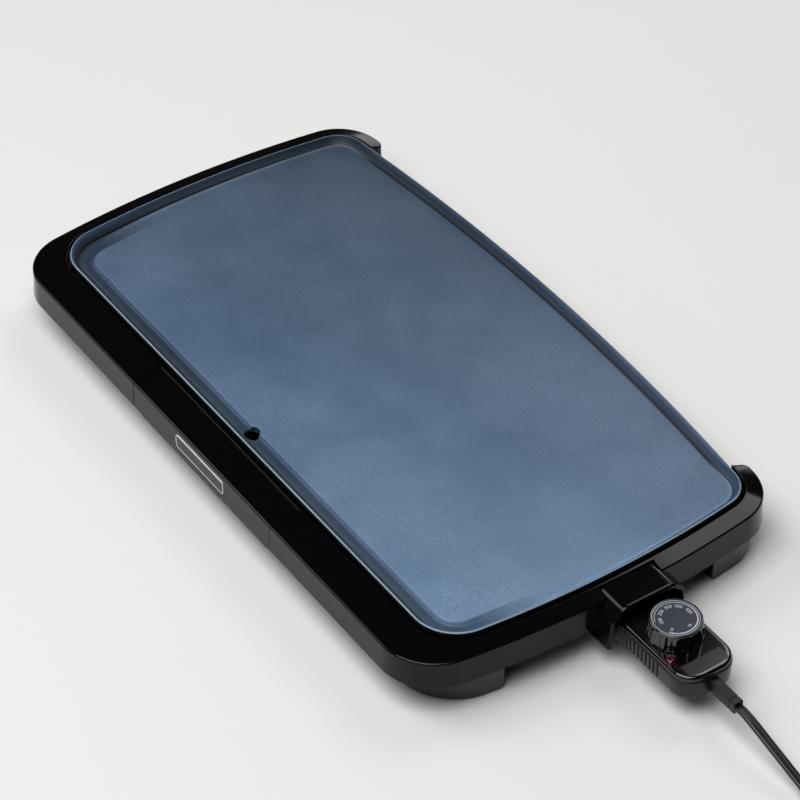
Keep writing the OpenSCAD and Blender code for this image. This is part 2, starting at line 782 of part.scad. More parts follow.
module cord_coil() {
    r0 = coil_inner_r - lead_t / 2 - 0.1;
    r1 = coil_r + lead_t / 2 + 0.1;
    color([0.10, 0.10, 0.10]) translate([coil_x, coil_y, coil_lift])
        rotate_extrude($fn = 96) translate([r0, 0]) square([r1 - r0, coil_h]);
}

module cord_tie() {
    r0 = coil_inner_r - lead_t / 2 - 0.1;
    r1 = coil_r + lead_t / 2 + 0.1;
    color([0.15, 0.15, 0.15]) translate([coil_x, coil_y, 0]) difference() {
        block([-r1 - 0.9, -5, 0], [-r0 + 1.4, 5, coil_lift + coil_h + 0.6]);
        translate([0, 0, coil_lift]) rotate_extrude($fn = 96) translate([r0, 0]) square([r1 - r0, coil_h]);
    }
}

module plug_body() {
    color([0.10, 0.10, 0.10]) {
        block([tail_x - 12, plug_y - plug_len, 0.2], [tail_x + 12, plug_y - 8, 2 * plug_z - 0.2]);
        block([tail_x - 7, plug_y - 8.5, 2.5], [tail_x + 7, plug_y, 2 * plug_z - 2.5]);
    }
}

module plug_blades() {
    blade_len = 17;
    color("gold") for (s = [-1, 1]) difference() {
        block([tail_x + s * 6.35 - 0.75, plug_y - plug_len - blade_len, plug_z - 3.2],
            [tail_x + s * 6.35 + 0.75, plug_y - plug_len, plug_z + 3.2]);
        bar_x(tail_x - 10, tail_x + 10, plug_y - plug_len - blade_len + 4.5, plug_z, 1.6);
    }
}

// ---------------------------------------------------------------- assembly

seat() {
    griddle_plate();
    heating_element();
    terminal_bracket();
    terminal_insulators();
    terminal_pins();
    bracket_screws();
    base_frame();
    socket_guard();
    guard_screws();
    tray_runner(-1);  // tray_runner_left
    tray_runner(1);  // tray_runner_right
    runner_screws();
    plate_screws();
    leg(corners[0]);  // leg_front_left
    leg(corners[1]);  // leg_front_right
    leg(corners[2]);  // leg_back_left
    leg(corners[3]);  // leg_back_right
    leg_screws();
    foot_pad(corners[0]);  // foot_pad_front_left
    foot_pad(corners[1]);  // foot_pad_front_right
    foot_pad(corners[2]);  // foot_pad_back_left
    foot_pad(corners[3]);  // foot_pad_back_right
    drip_tray();
    tray_badge();
    probe_top_cover();
    probe_bottom_cover();
    probe_screws();
    sensor_rod();
    bimetal_strip();
    contact_sleeves();
    thermostat_base();
    fixed_blade();
    blade_spacer();
    moving_blade();
    contact_rivets();
    neon_lamp();
    pilot_lens();
    strain_relief();
    dial_knob();
    dial_plate();
    dial_shaft();
    cord_run();
    cord_coil();
    cord_tail();
    cord_tie();
    plug_body();
    plug_blades();
}
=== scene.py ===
"""Electric griddle with a drip tray and a plug-in temperature probe.

Every surface is worked out in millimetres about the middle of the plate and
moved into the row frame, in metres, when its mesh is made.
"""

import json
import math

import bmesh
import bpy
import numpy as np
from bpy.props import FloatProperty, IntProperty, PointerProperty
from mathutils import Matrix, Vector


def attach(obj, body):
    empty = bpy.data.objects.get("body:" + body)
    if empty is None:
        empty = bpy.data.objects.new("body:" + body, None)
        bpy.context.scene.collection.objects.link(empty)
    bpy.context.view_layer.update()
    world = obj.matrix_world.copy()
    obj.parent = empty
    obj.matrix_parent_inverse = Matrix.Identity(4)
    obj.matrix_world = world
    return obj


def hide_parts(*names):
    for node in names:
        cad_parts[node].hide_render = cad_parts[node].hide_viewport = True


bl_info = {
    "name": "Electric Griddle",
    "version": (1, 0, 0),
    "blender": (4, 5, 0),
    "location": "View3D > Sidebar > Griddle",
    "description": "Builds the visual pieces of an electric griddle over its CAD frame",
    "category": "Object",
}

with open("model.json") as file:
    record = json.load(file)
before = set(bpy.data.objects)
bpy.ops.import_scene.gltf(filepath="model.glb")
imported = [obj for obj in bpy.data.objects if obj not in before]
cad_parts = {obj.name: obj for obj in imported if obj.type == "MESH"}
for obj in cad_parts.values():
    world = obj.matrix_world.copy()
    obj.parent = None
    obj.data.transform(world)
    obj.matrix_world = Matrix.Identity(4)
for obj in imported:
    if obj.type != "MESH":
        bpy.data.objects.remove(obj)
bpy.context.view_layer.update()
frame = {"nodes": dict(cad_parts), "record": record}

MM = 0.001
# Middle of the frame's box, measured from the middle of the plate
MID = np.array([57.0, -5.7401, 0.0])

# Plate and frame outlines, in millimetres
HALF_DEP, HALF_LEN = 135.3, 270.5
END_BOW, BACK_BOW = 10.3, 16.6
END_R = (HALF_DEP**2 + END_BOW**2) / (2 * END_BOW)
END_CX = HALF_LEN - END_R
CHORD_X = HALF_LEN - END_BOW
BACK_R = (CHORD_X**2 + BACK_BOW**2) / (2 * BACK_BOW)
BACK_CY = HALF_DEP + BACK_BOW - BACK_R
DRAIN = (0.0, -120.5, 6.0)
EAR_X, EAR_R = 231.0, 8.0
SEAM_X = 94.3
SHAFT_X, PROBE_Y = 331.0, 12.0

# Heights: the plate's rim, its flat underside, the frame's lip, its outer top
# edge, the foot of its skirt, and the under side and top of its shelf
RIM_Z = 53.0
UNDER_Z = 41.0
LIP_Z = 51.0
EDGE_Z = 47.6
SKIRT_Z = 25.2
SHELF_Z = (38.5, 41.0)


# ------------------------------------------------------------------ settings


class GriddlePlateSettings(bpy.types.PropertyGroup):
    """Sizes of the plate"""

    channel_depth: FloatProperty(
        name="Channel Depth",
        description="Depth of the grease channel at the front",
        default=0.0029,
        unit="LENGTH",
    )
    surface_fall: FloatProperty(
        name="Surface Fall",
        description="How far the cooking surface falls from back to front",
        default=0.0014,
        unit="LENGTH",
    )


class GriddleFrameSettings(bpy.types.PropertyGroup):
    """Sizes of the frame"""

    edge_radius: FloatProperty(
        name="Edge Radius",
        description="Rounding of the frame's outer top edge",
        default=0.0016,
        unit="LENGTH",
    )
    lip_radius: FloatProperty(
        name="Lip Radius",
        description="Rounding of the lip beside the plate",
        default=0.0007,
        unit="LENGTH",
    )


class GriddleProbeSettings(bpy.types.PropertyGroup):
    """Sizes of the probe and its dial"""

    grip_ribs: IntProperty(
        name="Grip Ribs",
        description="Number of ribs on each side of the probe",
        default=10,
    )
    rib_pitch: FloatProperty(
        name="Rib Pitch",
        description="Distance from one rib to the next",
        default=0.0043,
        unit="LENGTH",
    )
    knob_flutes: IntProperty(
        name="Knob Flutes",
        description="Number of flutes round the knob",
        default=12,
    )


class GriddleLeadSettings(bpy.types.PropertyGroup):
    """Sizes of the mains lead"""

    width: FloatProperty(
        name="Lead Width",
        description="Width of the flat two-core lead",
        default=0.0072,
        unit="LENGTH",
    )
    thickness: FloatProperty(
        name="Lead Thickness",
        description="Thickness of the flat two-core lead",
        default=0.0038,
        unit="LENGTH",
    )
    turns: IntProperty(
        name="Whole Turns",
        description="Whole turns of the coil, besides its first quarter",
        default=3,
    )


# ------------------------------------------------------------------ geometry


def arc(centre, radius, a0, a1, count, last=False):
    """Points of an arc from angle a0 to a1 in degrees; the last one is left
    out unless last is set."""
    a = np.radians(np.linspace(a0, a1, count + 1))
    if not last:
        a = a[:-1]
    return np.stack([centre[0] + radius * np.cos(a), centre[1] + radius * np.sin(a)], 1)


def steps(a, b, count):
    """Evenly spaced values from a, without b."""
    return np.linspace(a, b, count + 1)[:-1]


def smooth(t):
    """Smoothstep: 3t^2 - 2t^3 for t held between 0 and 1."""
    t = np.clip(t, 0, 1)
    return t * t * (3 - 2 * t)


# Index of the first point of each stretch of the latest outline
STOPS = {}


def outline(off, front, rf, rb, front_x=SEAM_X, ys=(-20.2, 44.2), back_x=EAR_X):
    """Right half of the bowed outline, from the middle of the front round to
    the middle of the back. The ends and the back are arcs of circles pushed
    out by off, the front is the straight line y = -front, and the corner arcs
    of radii rf and rb are tangent to their neighbours. Points fall exactly on
    x = front_x at the front, on both ys at the end and on x = back_x at the
    back, and STOPS holds the index of each."""
    fy = -front + rf
    fx = END_CX + math.sqrt((END_R + off - rf) ** 2 - fy**2)
    a, b = END_R + off - rb, BACK_R + off - rb
    dx, dy = -END_CX, BACK_CY
    d = math.hypot(dx, dy)
    along = (a * a - b * b + d * d) / (2 * d)
    up = math.sqrt(a * a - along * along)
    bx = END_CX + along * dx / d - up * dy / d
    by = along * dy / d + up * dx / d
    a0 = math.degrees(math.atan2(fy, fx - END_CX))
    a1 = math.degrees(math.atan2(by, bx - END_CX))
    a2 = math.degrees(math.atan2(by - BACK_CY, bx))
    big, bigb = END_R + off, BACK_R + off

    def end(y0, y1, n):
        y = steps(y0, y1, n)
        return np.stack([END_CX + np.sqrt(big**2 - y**2), y], 1)

    def back(x0, x1, n, last=False):
        x = np.linspace(x0, x1, n + 1)
        x = x if last else x[:-1]
        return np.stack([x, BACK_CY + np.sqrt(bigb**2 - x**2)], 1)

    y0, y1 = big * math.sin(math.radians(a0)), big * math.sin(math.radians(a1))
    x2 = bigb * math.cos(math.radians(a2))
    parts = [
        ("front", np.stack([steps(0, 12, 6), np.full(6, -front)], 1)),
        ("patch", np.stack([steps(12, front_x, 6), np.full(6, -front)], 1)),
        ("seam", np.stack([steps(front_x, fx, 8), np.full(8, -front)], 1)),
        ("corner", arc((fx, fy), rf, -90, a0, 18)),
        ("end", end(y0, ys[0], 9)),
        ("guard", end(ys[0], ys[1], 8)),
        ("after", end(ys[1], y1, 8)),
        ("rear", arc((bx, by), rb, a1, a2, 18)),
        ("back", back(x2, back_x, 2)),
        ("ear", back(back_x, 0, 16, True)),
    ]
    at = 0
    for name, p in parts:
        STOPS[name] = at
        at += len(p)
    STOPS["last"] = at - 1
    return np.concatenate([p for _, p in parts])


def whole(half):
    """Closed outline: the right half and its mirror image."""
    left = half[-2:0:-1] * [-1, 1]
    return np.concatenate([half, left])


def plate_line(off, **kw):
    """Outline off millimetres outside the plate's edge."""
    return outline(off, HALF_DEP + off, 35 + off, 25 + off, **kw)


def frame_line(s, **kw):
    """Outline s millimetres out from the frame's inner edge: the front runs
    out 14.2 mm further than the ends, spread between s = 1.5 and s = 11.5."""
    extra = 14.2 * min(max((s - 1.5) / 10, 0), 1)
    t = min(max(s / 13, 0), 1)
    over = max(s - 13, 0)
    return outline(
        3 + s, HALF_DEP + 3 + s + extra, 38 + 6 * t + over, 28 + 12 * t + over, **kw
    )


def rounded(points, radii, count=5):
    """A polyline with its corners rounded: each corner of radius r is replaced
    by an arc that touches both sides."""
    points = [np.array(p, float) for p in points]
    out = []
    n = len(points)
    for i, p in enumerate(points):
        r = radii[i]
        if r <= 0:
            out.append(p)
            continue
        a, b = points[i - 1] - p, points[(i + 1) % n] - p
        la, lb = np.linalg.norm(a), np.linalg.norm(b)
        a, b = a / la, b / lb
        half = math.acos(np.clip(a @ b, -1, 1)) / 2
        t = min(r / math.tan(half), 0.49 * la, 0.49 * lb)
        r = t * math.tan(half)
        c = p + (a + b) / np.linalg.norm(a + b) * r / math.sin(half)
        p0, p1 = p + a * t - c, p + b * t - c
        a0, a1 = math.atan2(p0[1], p0[0]), math.atan2(p1[1], p1[0])
        da = (a1 - a0 + math.pi) % (2 * math.pi) - math.pi
        for k in range(count + 1):
            q = a0 + da * k / count
            out.append(c + r * np.array([math.cos(q), math.sin(q)]))
    return np.array(out)


def grid_faces(rows, cols, close_rows=False, close_cols=False):
    """Quads of a grid of rows x cols points, wrapped round either way."""
    r = np.arange(rows if close_rows else rows - 1)
    c = np.arange(cols if close_cols else cols - 1)
    r, c = np.meshgrid(r, c, indexing="ij")
    r2, c2 = (r + 1) % rows, (c + 1) % cols
    q = np.stack([r * cols + c, r2 * cols + c, r2 * cols + c2, r * cols + c2], -1)
    return q.reshape(-1, 4).tolist()


class Surface:
    """Points and faces of one piece, in millimetres about the plate."""

    def __init__(self):
        self.points = []
        self.faces = []
        self.count = 0

    def add(self, points, faces):
        points = np.asarray(points, float).reshape(-1, 3)
        self.faces += [[i + self.count for i in f] for f in faces]
        self.points.append(points)
        self.count += len(points)
        return self

    def grid(self, g, close_rows=False, close_cols=False, cap_rows=False, cap_cols=False):
        """A grid of points; caps close its first and last rows or columns."""
        g = np.asarray(g, float)
        rows, cols = g.shape[:2]
        faces = grid_faces(rows, cols, close_rows, close_cols)
        if cap_rows:
            faces.append(list(range(cols))[::-1])
            faces.append([(rows - 1) * cols + c for c in range(cols)])
        if cap_cols:
            faces.append([r * cols for r in range(rows)])
            faces.append([r * cols + cols - 1 for r in range(rows)][::-1])
        return self.add(g, faces)

    def box(self, lo, hi):
        """A plain box between two opposite corners."""
        x, y, z = zip(lo, hi)
        p = [(x[i], y[j], z[k]) for i in (0, 1) for j in (0, 1) for k in (0, 1)]
        f = [[0, 1, 3, 2], [4, 6, 7, 5], [0, 4, 5, 1], [2, 3, 7, 6], [0, 2, 6, 4], [1, 5, 7, 3]]
        return self.add(p, f)

    def turned(self, profile, centre, count=64, radius=None):
        """A profile of (radius, height) points turned round a vertical axis.
        radius(r, z, angle) can vary it round the axis."""
        a = np.linspace(0, 2 * math.pi, count, endpoint=False)
        rows = []
        for r, z in profile:
            rr = np.full(count, r) if radius is None else radius(r, z, a)
            rows.append(
                np.stack([centre[0] + rr * np.cos(a), centre[1] + rr * np.sin(a), np.full(count, z)], 1)
            )
        return self.grid(np.array(rows), close_cols=True, cap_rows=True)

    def mirrored(self):
        """The same surface and its mirror image across x = 0."""
        p = np.concatenate(self.points)
        f = list(self.faces)
        return self.add(p * [-1, 1, 1], [g[::-1] for g in f])


def level(line, z):
    """A plan outline raised to z."""
    return np.column_stack([line, np.broadcast_to(z, len(line))])


def piece(name, surface, body, slot, *nodes, finish=None, angle=38, bevel=0.0):
    """A finished object from a surface: outward faces, smooth shading with
    edges sharper than angle kept, and an optional bevel in millimetres. It
    rides on its body, gets the material of its slot, or of finish when that
    is given, and hides the CAD nodes that it stands for."""
    name = name.replace(" ", "_")
    mesh = bpy.data.meshes.new(name)
    points = (np.concatenate(surface.points) - MID) * MM
    mesh.from_pydata(points.tolist(), [], surface.faces)
    mesh.validate()
    obj = bpy.data.objects.new(name, mesh)
    bpy.context.scene.collection.objects.link(obj)
    b = bmesh.new()
    b.from_mesh(mesh)
    bmesh.ops.recalc_face_normals(b, faces=b.faces)
    b.to_mesh(mesh)
    b.free()
    mesh.shade_smooth()
    mesh.set_sharp_from_angle(angle=math.radians(angle))
    mesh.materials.append(material(finish or slot))
    if bevel:
        m = obj.modifiers.new("Edge Rounding", "BEVEL")
        m.width = bevel * MM
        m.segments = 3
        m.limit_method = "ANGLE"
        m.angle_limit = math.radians(35)
        m.harden_normals = True
    else:
        m = obj.modifiers.new("Weighted Normals", "WEIGHTED_NORMAL")
        m.keep_sharp = True
    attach(obj, body)
    if nodes:
        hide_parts(*nodes)
    return obj


# ----------------------------------------------------------------- materials


def linear(code):
    """An sRGB hex code as linear RGB with alpha 1."""
    out = []
    for i in (0, 2, 4):
        v = int(code[i : i + 2], 16) / 255
        out.append(v / 12.92 if v <= 0.04045 else ((v + 0.055) / 1.055) ** 2.4)
    return (*out, 1.0)


def add_node(tree, kind, label, x, y, **values):
    """Adds a node with a label and place, and sets its inputs by name."""
    n = tree.nodes.new(kind)
    n.label = label
    n.location = (x, y)
    for key, value in values.items():
        key = key.replace("_", " ")
        if key in n.inputs:
            n.inputs[key].default_value = value
        else:
            setattr(n, key.replace(" ", "_"), value)
    return n


def shader(name, colour, roughness, metallic=0.0, ior=1.5, **more):
    """A material with one Principled shader and constant values."""
    m = bpy.data.materials.new(name)
    m.use_nodes = True
    p = m.node_tree.nodes["Principled BSDF"]
    p.inputs["Base Color"].default_value = linear(colour)
    p.inputs["Roughness"].default_value = roughness
    p.inputs["Metallic"].default_value = metallic
    p.inputs["IOR"].default_value = ior
    for key, value in more.items():
        p.inputs[key.replace("_", " ")].default_value = value
    m.diffuse_color = linear(colour)
    return m


def millimetres(tree, x, y):
    """Object coordinates in millimetres, so that scales read in mm."""
    c = add_node(tree, "ShaderNodeTexCoord", "Object Coordinates", x, y)
    v = add_node(tree, "ShaderNodeVectorMath", "To Millimetres", x + 180, y, operation="SCALE")
    v.inputs["Scale"].default_value = 1000.0
    tree.links.new(c.outputs["Object"], v.inputs[0])
    return v.outputs[0]


def grain(m, size, height):
    """Gives a material a fine bump: noise of that size and height in mm."""
    t = m.node_tree
    where = millimetres(t, -900, -300)
    noise = add_node(t, "ShaderNodeTexNoise", "Surface Grain", -500, -300, Scale=1 / size, Detail=2.0)
    bump = add_node(t, "ShaderNodeBump", "Grain Height", -250, -300, Strength=1.0, Distance=height * MM)
    t.links.new(where, noise.inputs["Vector"])
    t.links.new(noise.outputs["Fac"], bump.inputs["Height"])
    t.links.new(bump.outputs["Normal"], t.nodes["Principled BSDF"].inputs["Normal"])


def ramp(tree, label, x, y, source, *stops):
    """A colour ramp with two stops of (position, colour), fed by source."""
    n = add_node(tree, "ShaderNodeValToRGB", label, x, y)
    for element, (position, colour) in zip(n.color_ramp.elements, stops):
        element.position, element.color = position, colour
    tree.links.new(source, n.inputs["Fac"])
    return n.outputs["Color"]


def remap(tree, label, x, y, source, **ends):
    """A map range fed by source."""
    n = add_node(tree, "ShaderNodeMapRange", label, x, y, **ends)
    tree.links.new(source, n.inputs["Value"])
    return n.outputs["Result"]


def nonstick():
    """Satin blue-grey non-stick coating: soft clouds 130 mm and 40 mm across,
    fine pale and dark speckle about 1 mm across, and a slight orange-peel
    bump. A painted sheen makes it paler towards the front right, painted shade
    makes it darker and duller where the plate's shade value is low, and a
    painted highlight makes it bright where its rim value is 1."""
    m = shader("Non-stick Coating Satin Blue-grey", "56677E", 0.42, ior=1.55)
    t = m.node_tree
    p = t.nodes["Principled BSDF"]
    where = millimetres(t, -1500, 0)

    def noise(label, y, size, **values):
        n = add_node(t, "ShaderNodeTexNoise", label, -1100, y, Scale=1 / size, **values)
        t.links.new(where, n.inputs["Vector"])
        return n.outputs["Fac"]

    def times(label, x, y, a, b):
        n = add_node(t, "ShaderNodeMath", label, x, y, operation="MULTIPLY")
        t.links.new(a, n.inputs[0])
        if isinstance(b, float):
            n.inputs[1].default_value = b
        else:
            t.links.new(b, n.inputs[1])
        return n.outputs[0]

    clouds = noise("Large Clouds", 300, 130, Detail=3.0, Roughness=0.5)
    patches = noise("Small Clouds", 80, 40, Detail=3.0, Roughness=0.55)
    speck = noise("Speckle", -140, 1.1, Detail=2.0, Roughness=0.7)
    peel = noise("Orange Peel", -380, 1.3, Detail=1.0)
    # Painted shade from the plate's shade value, and a painted highlight from its rim value
    painted_shade = add_node(t, "ShaderNodeAttribute", "PaintedShade", -560, 420, attribute_name="PaintedShade").outputs["Fac"]
    rim = add_node(t, "ShaderNodeAttribute", "PaintedRimHighlight", -560, 600, attribute_name="PaintedRimHighlight").outputs["Fac"]

    both = add_node(t, "ShaderNodeMix", "Clouds Together", -880, 240, data_type="FLOAT")
    both.inputs[0].default_value = 0.3
    t.links.new(clouds, both.inputs[2])
    t.links.new(patches, both.inputs[3])
    colours = ramp(
        t, "Coating Colours", -680, 240, both.outputs[0], (0.33, linear("33475C")), (0.68, linear("45586D"))
    )
    dots = ramp(
        t, "Speckle Contrast", -680, -120, speck, (0.3, (0.72, 0.72, 0.72, 1)), (0.72, (1.22, 1.22, 1.22, 1))
    )
    mix = add_node(t, "ShaderNodeMix", "Speckled Coating", -380, 160, data_type="RGBA", blend_type="MULTIPLY")
    mix.inputs[0].default_value = 1.0
    t.links.new(colours, mix.inputs[6])
    t.links.new(dots, mix.inputs[7])

    # Painted sheen: the coating is painted paler towards the front right, where the lights' sheen falls
    across = add_node(
        t, "ShaderNodeVectorMath", "Towards The Front Right", -1100, 520, operation="DOT_PRODUCT"
    )
    across.inputs[1].default_value = (1.0, -1.36, 0.0)
    t.links.new(where, across.inputs[0])
    ends = {"From Min": -518.0, "From Max": 389.0, "To Min": 0.62, "To Max": 2.45}
    painted_sheen = remap(t, "Painted Sheen Towards The Front Right", -880, 520, across.outputs["Value"], **ends)
    # The speckled coating scaled by the painted shade and the painted sheen
    shade = add_node(t, "ShaderNodeVectorMath", "Coating With Painted Light", -200, 300, operation="SCALE")
    t.links.new(mix.outputs[2], shade.inputs[0])
    t.links.new(times("Painted Shade And Sheen", -380, 420, painted_shade, painted_sheen), shade.inputs["Scale"])
    # Painted highlight: the top of the rim is painted a bright blue-grey
    rim_highlight = add_node(t, "ShaderNodeMix", "Painted Rim Highlight", -20, 300, data_type="RGBA")
    rim_highlight.inputs[7].default_value = linear("8699A9")
    t.links.new(rim, rim_highlight.inputs[0])
    t.links.new(shade.outputs[0], rim_highlight.inputs[6])

    bump = add_node(t, "ShaderNodeBump", "Peel Height", -380, -360, Strength=0.5, Distance=0.03 * MM)
    t.links.new(peel, bump.inputs["Height"])
    gloss = remap(t, "Gloss Variation", -680, 20, patches, **{"To Min": 0.40, "To Max": 0.52})
    # The specular level follows the painted shade value, so the shaded channel and walls are painted duller
    for socket, source in (
        ("Base Color", rim_highlight.outputs[2]),
        ("Roughness", gloss),
        ("Specular IOR Level", times("Painted Shade Dulls Specular", -200, 60, painted_shade, 0.5)),
        ("Normal", bump.outputs["Normal"]),
    ):
        t.links.new(source, p.inputs[socket])
    return m


# Name, colour, roughness, other shader values, and the size and height of the
# grain in mm, if it has any
FINISHES = {
    # Near-black on the plate's underside and on the outer side of its rim
    "plate_underside": ("Cast Aluminium Near-black Underside", "0B0C0E", 0.5, {}, (0.8, 0.02)),
    "element_sheath": ("Element Sheath Dull Alloy", "7A7672", 0.5, {"metallic": 1}, (0.6, 0.02)),
    "zinc_steel": ("Zinc-plated Steel Satin", "B9BBBF", 0.38, {"metallic": 1}, (1.5, 0.008)),
    "steatite": ("Steatite Ceramic Matte", "E4DCC8", 0.7, {}, (0.5, 0.02)),
    "nickel_pin": ("Nickel Plate Bright", "D2CFC8", 0.18, {"metallic": 1}, None),
    "screw_steel": ("Screw Steel Zinc", "BDBDC0", 0.3, {"metallic": 1}, None),
    "frame_black": ("Phenolic Moulding High-gloss Black", "060607", 0.09, {"ior": 1.32}, (60, 0.04)),
    "leg_black": ("Phenolic Moulding Gloss Black Legs", "08080A", 0.14, {}, (40, 0.03)),
    "pad_rubber": ("Silicone Rubber Matte Black", "151516", 0.75, {}, (0.5, 0.02)),
    "badge_silver": ("Printed Silver Satin", "DADBDD", 0.35, {"metallic": 0.25}, None),
    "probe_gloss": ("Probe Cover Gloss Black", "07070A", 0.08, {"ior": 1.6}, (30, 0.02)),
    "probe_matte": ("Probe Housing Satin Black", "0C0C0D", 0.28, {"ior": 1.42}, (0.5, 0.012)),
    "rod_steel": ("Stainless Steel Polished", "BFBFC0", 0.22, {"metallic": 1}, None),
    "contact_brass": ("Brass Drawn Satin", "C9A962", 0.3, {"metallic": 1}, None),
    "blade_copper": ("Copper Alloy Rolled", "C08A5E", 0.32, {"metallic": 1}, None),
    "contact_silver": ("Silver Contact Bright", "DCDCDA", 0.2, {"metallic": 1}, None),
    "label_plate": ("Label Plate Gloss Near-black", "0B0B0E", 0.16, {}, None),
    "lamp_glass": ("Neon Bulb Clear Glass", "F6C9A8", 0.05, {"Transmission_Weight": 0.9}, None),
    "lens_red": (
        "Pilot Lens Translucent Dark Red", "3C0510", 0.08, {"ior": 1.45, "Transmission_Weight": 0.2}, None
    ),
    "relief_pvc": ("PVC Strain Relief Satin Black", "09090A", 0.38, {"ior": 1.4}, (0.6, 0.015)),
    "knob_black": ("Knob Moulding Gloss Black", "070709", 0.1, {"ior": 1.75}, None),
    "dial_print": ("Dial Disc Dark Navy", "161C2B", 0.3, {}, None),
    "dial_white": ("Dial Print White", "B4BAC2", 0.4, {}, None),
    "cord_pvc": ("PVC Lead Satin Black", "0B0B0C", 0.3, {"ior": 1.45}, (0.8, 0.012)),
    "tie_black": ("Coated Wire Tie Matte Black", "1C1C1D", 0.6, {}, None),
}
MATERIALS = {}


def material(key):
    """The material of a slot, made the first time it is asked for."""
    if key not in MATERIALS:
        if key == "nonstick_aluminium":
            MATERIALS[key] = nonstick()
        else:
            name, colour, roughness, values, texture = FINISHES[key]
            MATERIALS[key] = shader(name, colour, roughness, **values)
            if texture:
                grain(MATERIALS[key], *texture)
    return MATERIALS[key]


# ----------------------------------------------------------------- operators


class GRIDDLE_OT_camera(bpy.types.Operator):
    """Adds the camera, looking down along the griddle from its right front"""

    bl_idname = "griddle.camera"
    bl_label = "Camera"

    def execute(self, context):
        yaw, pitch = math.radians(55.51), math.radians(41.44)
        ahead = Vector((-math.sin(yaw) * math.cos(pitch), math.cos(yaw) * math.cos(pitch), -math.sin(pitch)))
        data = bpy.data.cameras.new("Camera")
        cam = bpy.data.objects.new("Camera", data)
        context.scene.collection.objects.link(cam)
        data.lens = 139.6
        data.sensor_width = 36.0
        data.clip_start, data.clip_end = 0.05, 60.0
        cam.location = (np.array([1451, -986, 1512 + RIM_Z]) - MID) * MM
        cam.rotation_euler = ahead.to_track_quat("-Z", "Y").to_euler()
        context.scene.camera = cam
        return {"FINISHED"}


def ear_tip(s):
    """Plan of the last 8 mm of a rear end, for the outline s mm out: the
    outside turns in by 7 mm on a quarter ellipse and the inside of the skirt
    by 8.3 mm, so that it meets the lip, which runs straight on."""
    a = np.radians(np.linspace(9, 90, 10))
    x = EAR_X + EAR_R * (1 - np.sin(a))
    turn = (8.3 - 1.3 * smooth((s - 11.7) / 1.3)) * smooth((s - 2.4) / 8.0)
    big = BACK_R + 3 + s - turn * (1 - np.cos(a))
    return np.stack([x, BACK_CY + np.sqrt(big**2 - x**2)], 1)


def sweep(profile, line, first, last, mirror=False, tip=None):
    """A closed profile of (s, z) points carried along the outline line(s),
    from index first to last. tip(s) adds more points at the end, and mirror
    adds the same on the left."""
    rows = []
    for s, z in profile:
        plan = line(s)[first : last + 1]
        if tip:
            plan = np.concatenate([plan, tip(s)])
        rows.append(level(plan, z))
    out = Surface().grid(np.array(rows), close_rows=True, cap_cols=True)
    return out.mirrored() if mirror else out


def plate_height(u, y, fall, depth):
    """Height of the plate's top u mm in from its outline. low is the foot of
    the wall: the cooking surface less the channel, which is depth deep at the
    front and dies out by smoothstep towards the back. The wall falls from the
    rim to low as (1 - t)^3.2 over 15.2 mm at the front, where it forms the
    channel, and as (1 - t)^1.7 over 6 mm at the back. The channel's inner side
    rises by smoothstep between u = 16.4 and u = 19."""
    u, y = np.broadcast_arrays(np.asarray(u, float), np.asarray(y, float))
    floor = 45.6 + fall * smooth((y + 115) / 240)
    k = 1 - 0.97 * smooth((y + 112) / 78)
    low = floor - depth * k
    front = (1 - np.clip((u - 1.3) / 15.2, 0, 1)) ** 3.2
    back = (1 - np.clip((u - 1.3) / 6.0, 0, 1)) ** 1.7
    wall = low + (RIM_Z - low) * (back + (front - back) * k)
    return np.where(u <= 1.3, RIM_Z, wall + depth * k * smooth((u - 16.4) / 2.6))


def plate_painted_light(obj):
    """Two values per point of the plate, from u, its distance to the outline.
    The rim value is 1 on the top of the rim: a painted highlight. The shade
    value is 1 on the cooking surface and falls in the channel and on the
    walls as painted shade; the crease at their foot is painted darker along
    the back, and painted paler at the ends as a painted highlight."""
    mesh = obj.data
    co = np.empty(len(mesh.vertices) * 3)
    mesh.vertices.foreach_get("co", co)
    p = co.reshape(-1, 3)[:, :2] / MM + MID[:2]
    a = whole(plate_line(0))
    ab = np.roll(a, -1, 0) - a
    t = np.clip(((p[:, None] - a) * ab).sum(2) / (ab**2).sum(1), 0, 1)
    u = np.linalg.norm(p[:, None] - a - t[..., None] * ab, axis=2).min(1)
    k = 1 - smooth((p[:, 1] + 112) / 78)
    channel = k * smooth((u - 1.5) / 2) * (1 - smooth((u - 15.5) / 3))
    end = smooth((np.abs(p[:, 0]) - 215) / 30)
    wall = (1 - k) * smooth((u - 1.5 + 0.6 * end) / (2 - end)) * (1 - smooth((u - 6.6 + 1.5 * end) / 2))
    crease = (1 - k) * np.exp(-(((u - 7.2) / 1.4) ** 2))
    # Painted shade: the channel, the walls and the crease along the back are painted darker, and the crease
    # at the ends is painted paler as a painted highlight
    painted_shade = 1 - 0.68 * channel - (0.6 - 0.1 * end) * wall + (0.7 * end - 0.3) * crease
    # The rim value marks a painted highlight along the top of the rim
    for name, values in (("PaintedRimHighlight", 1 - smooth((u - 0.45) / 0.55)), ("PaintedShade", painted_shade)):
        mesh.attributes.new(name, "FLOAT", "POINT").data.foreach_set("value", values)


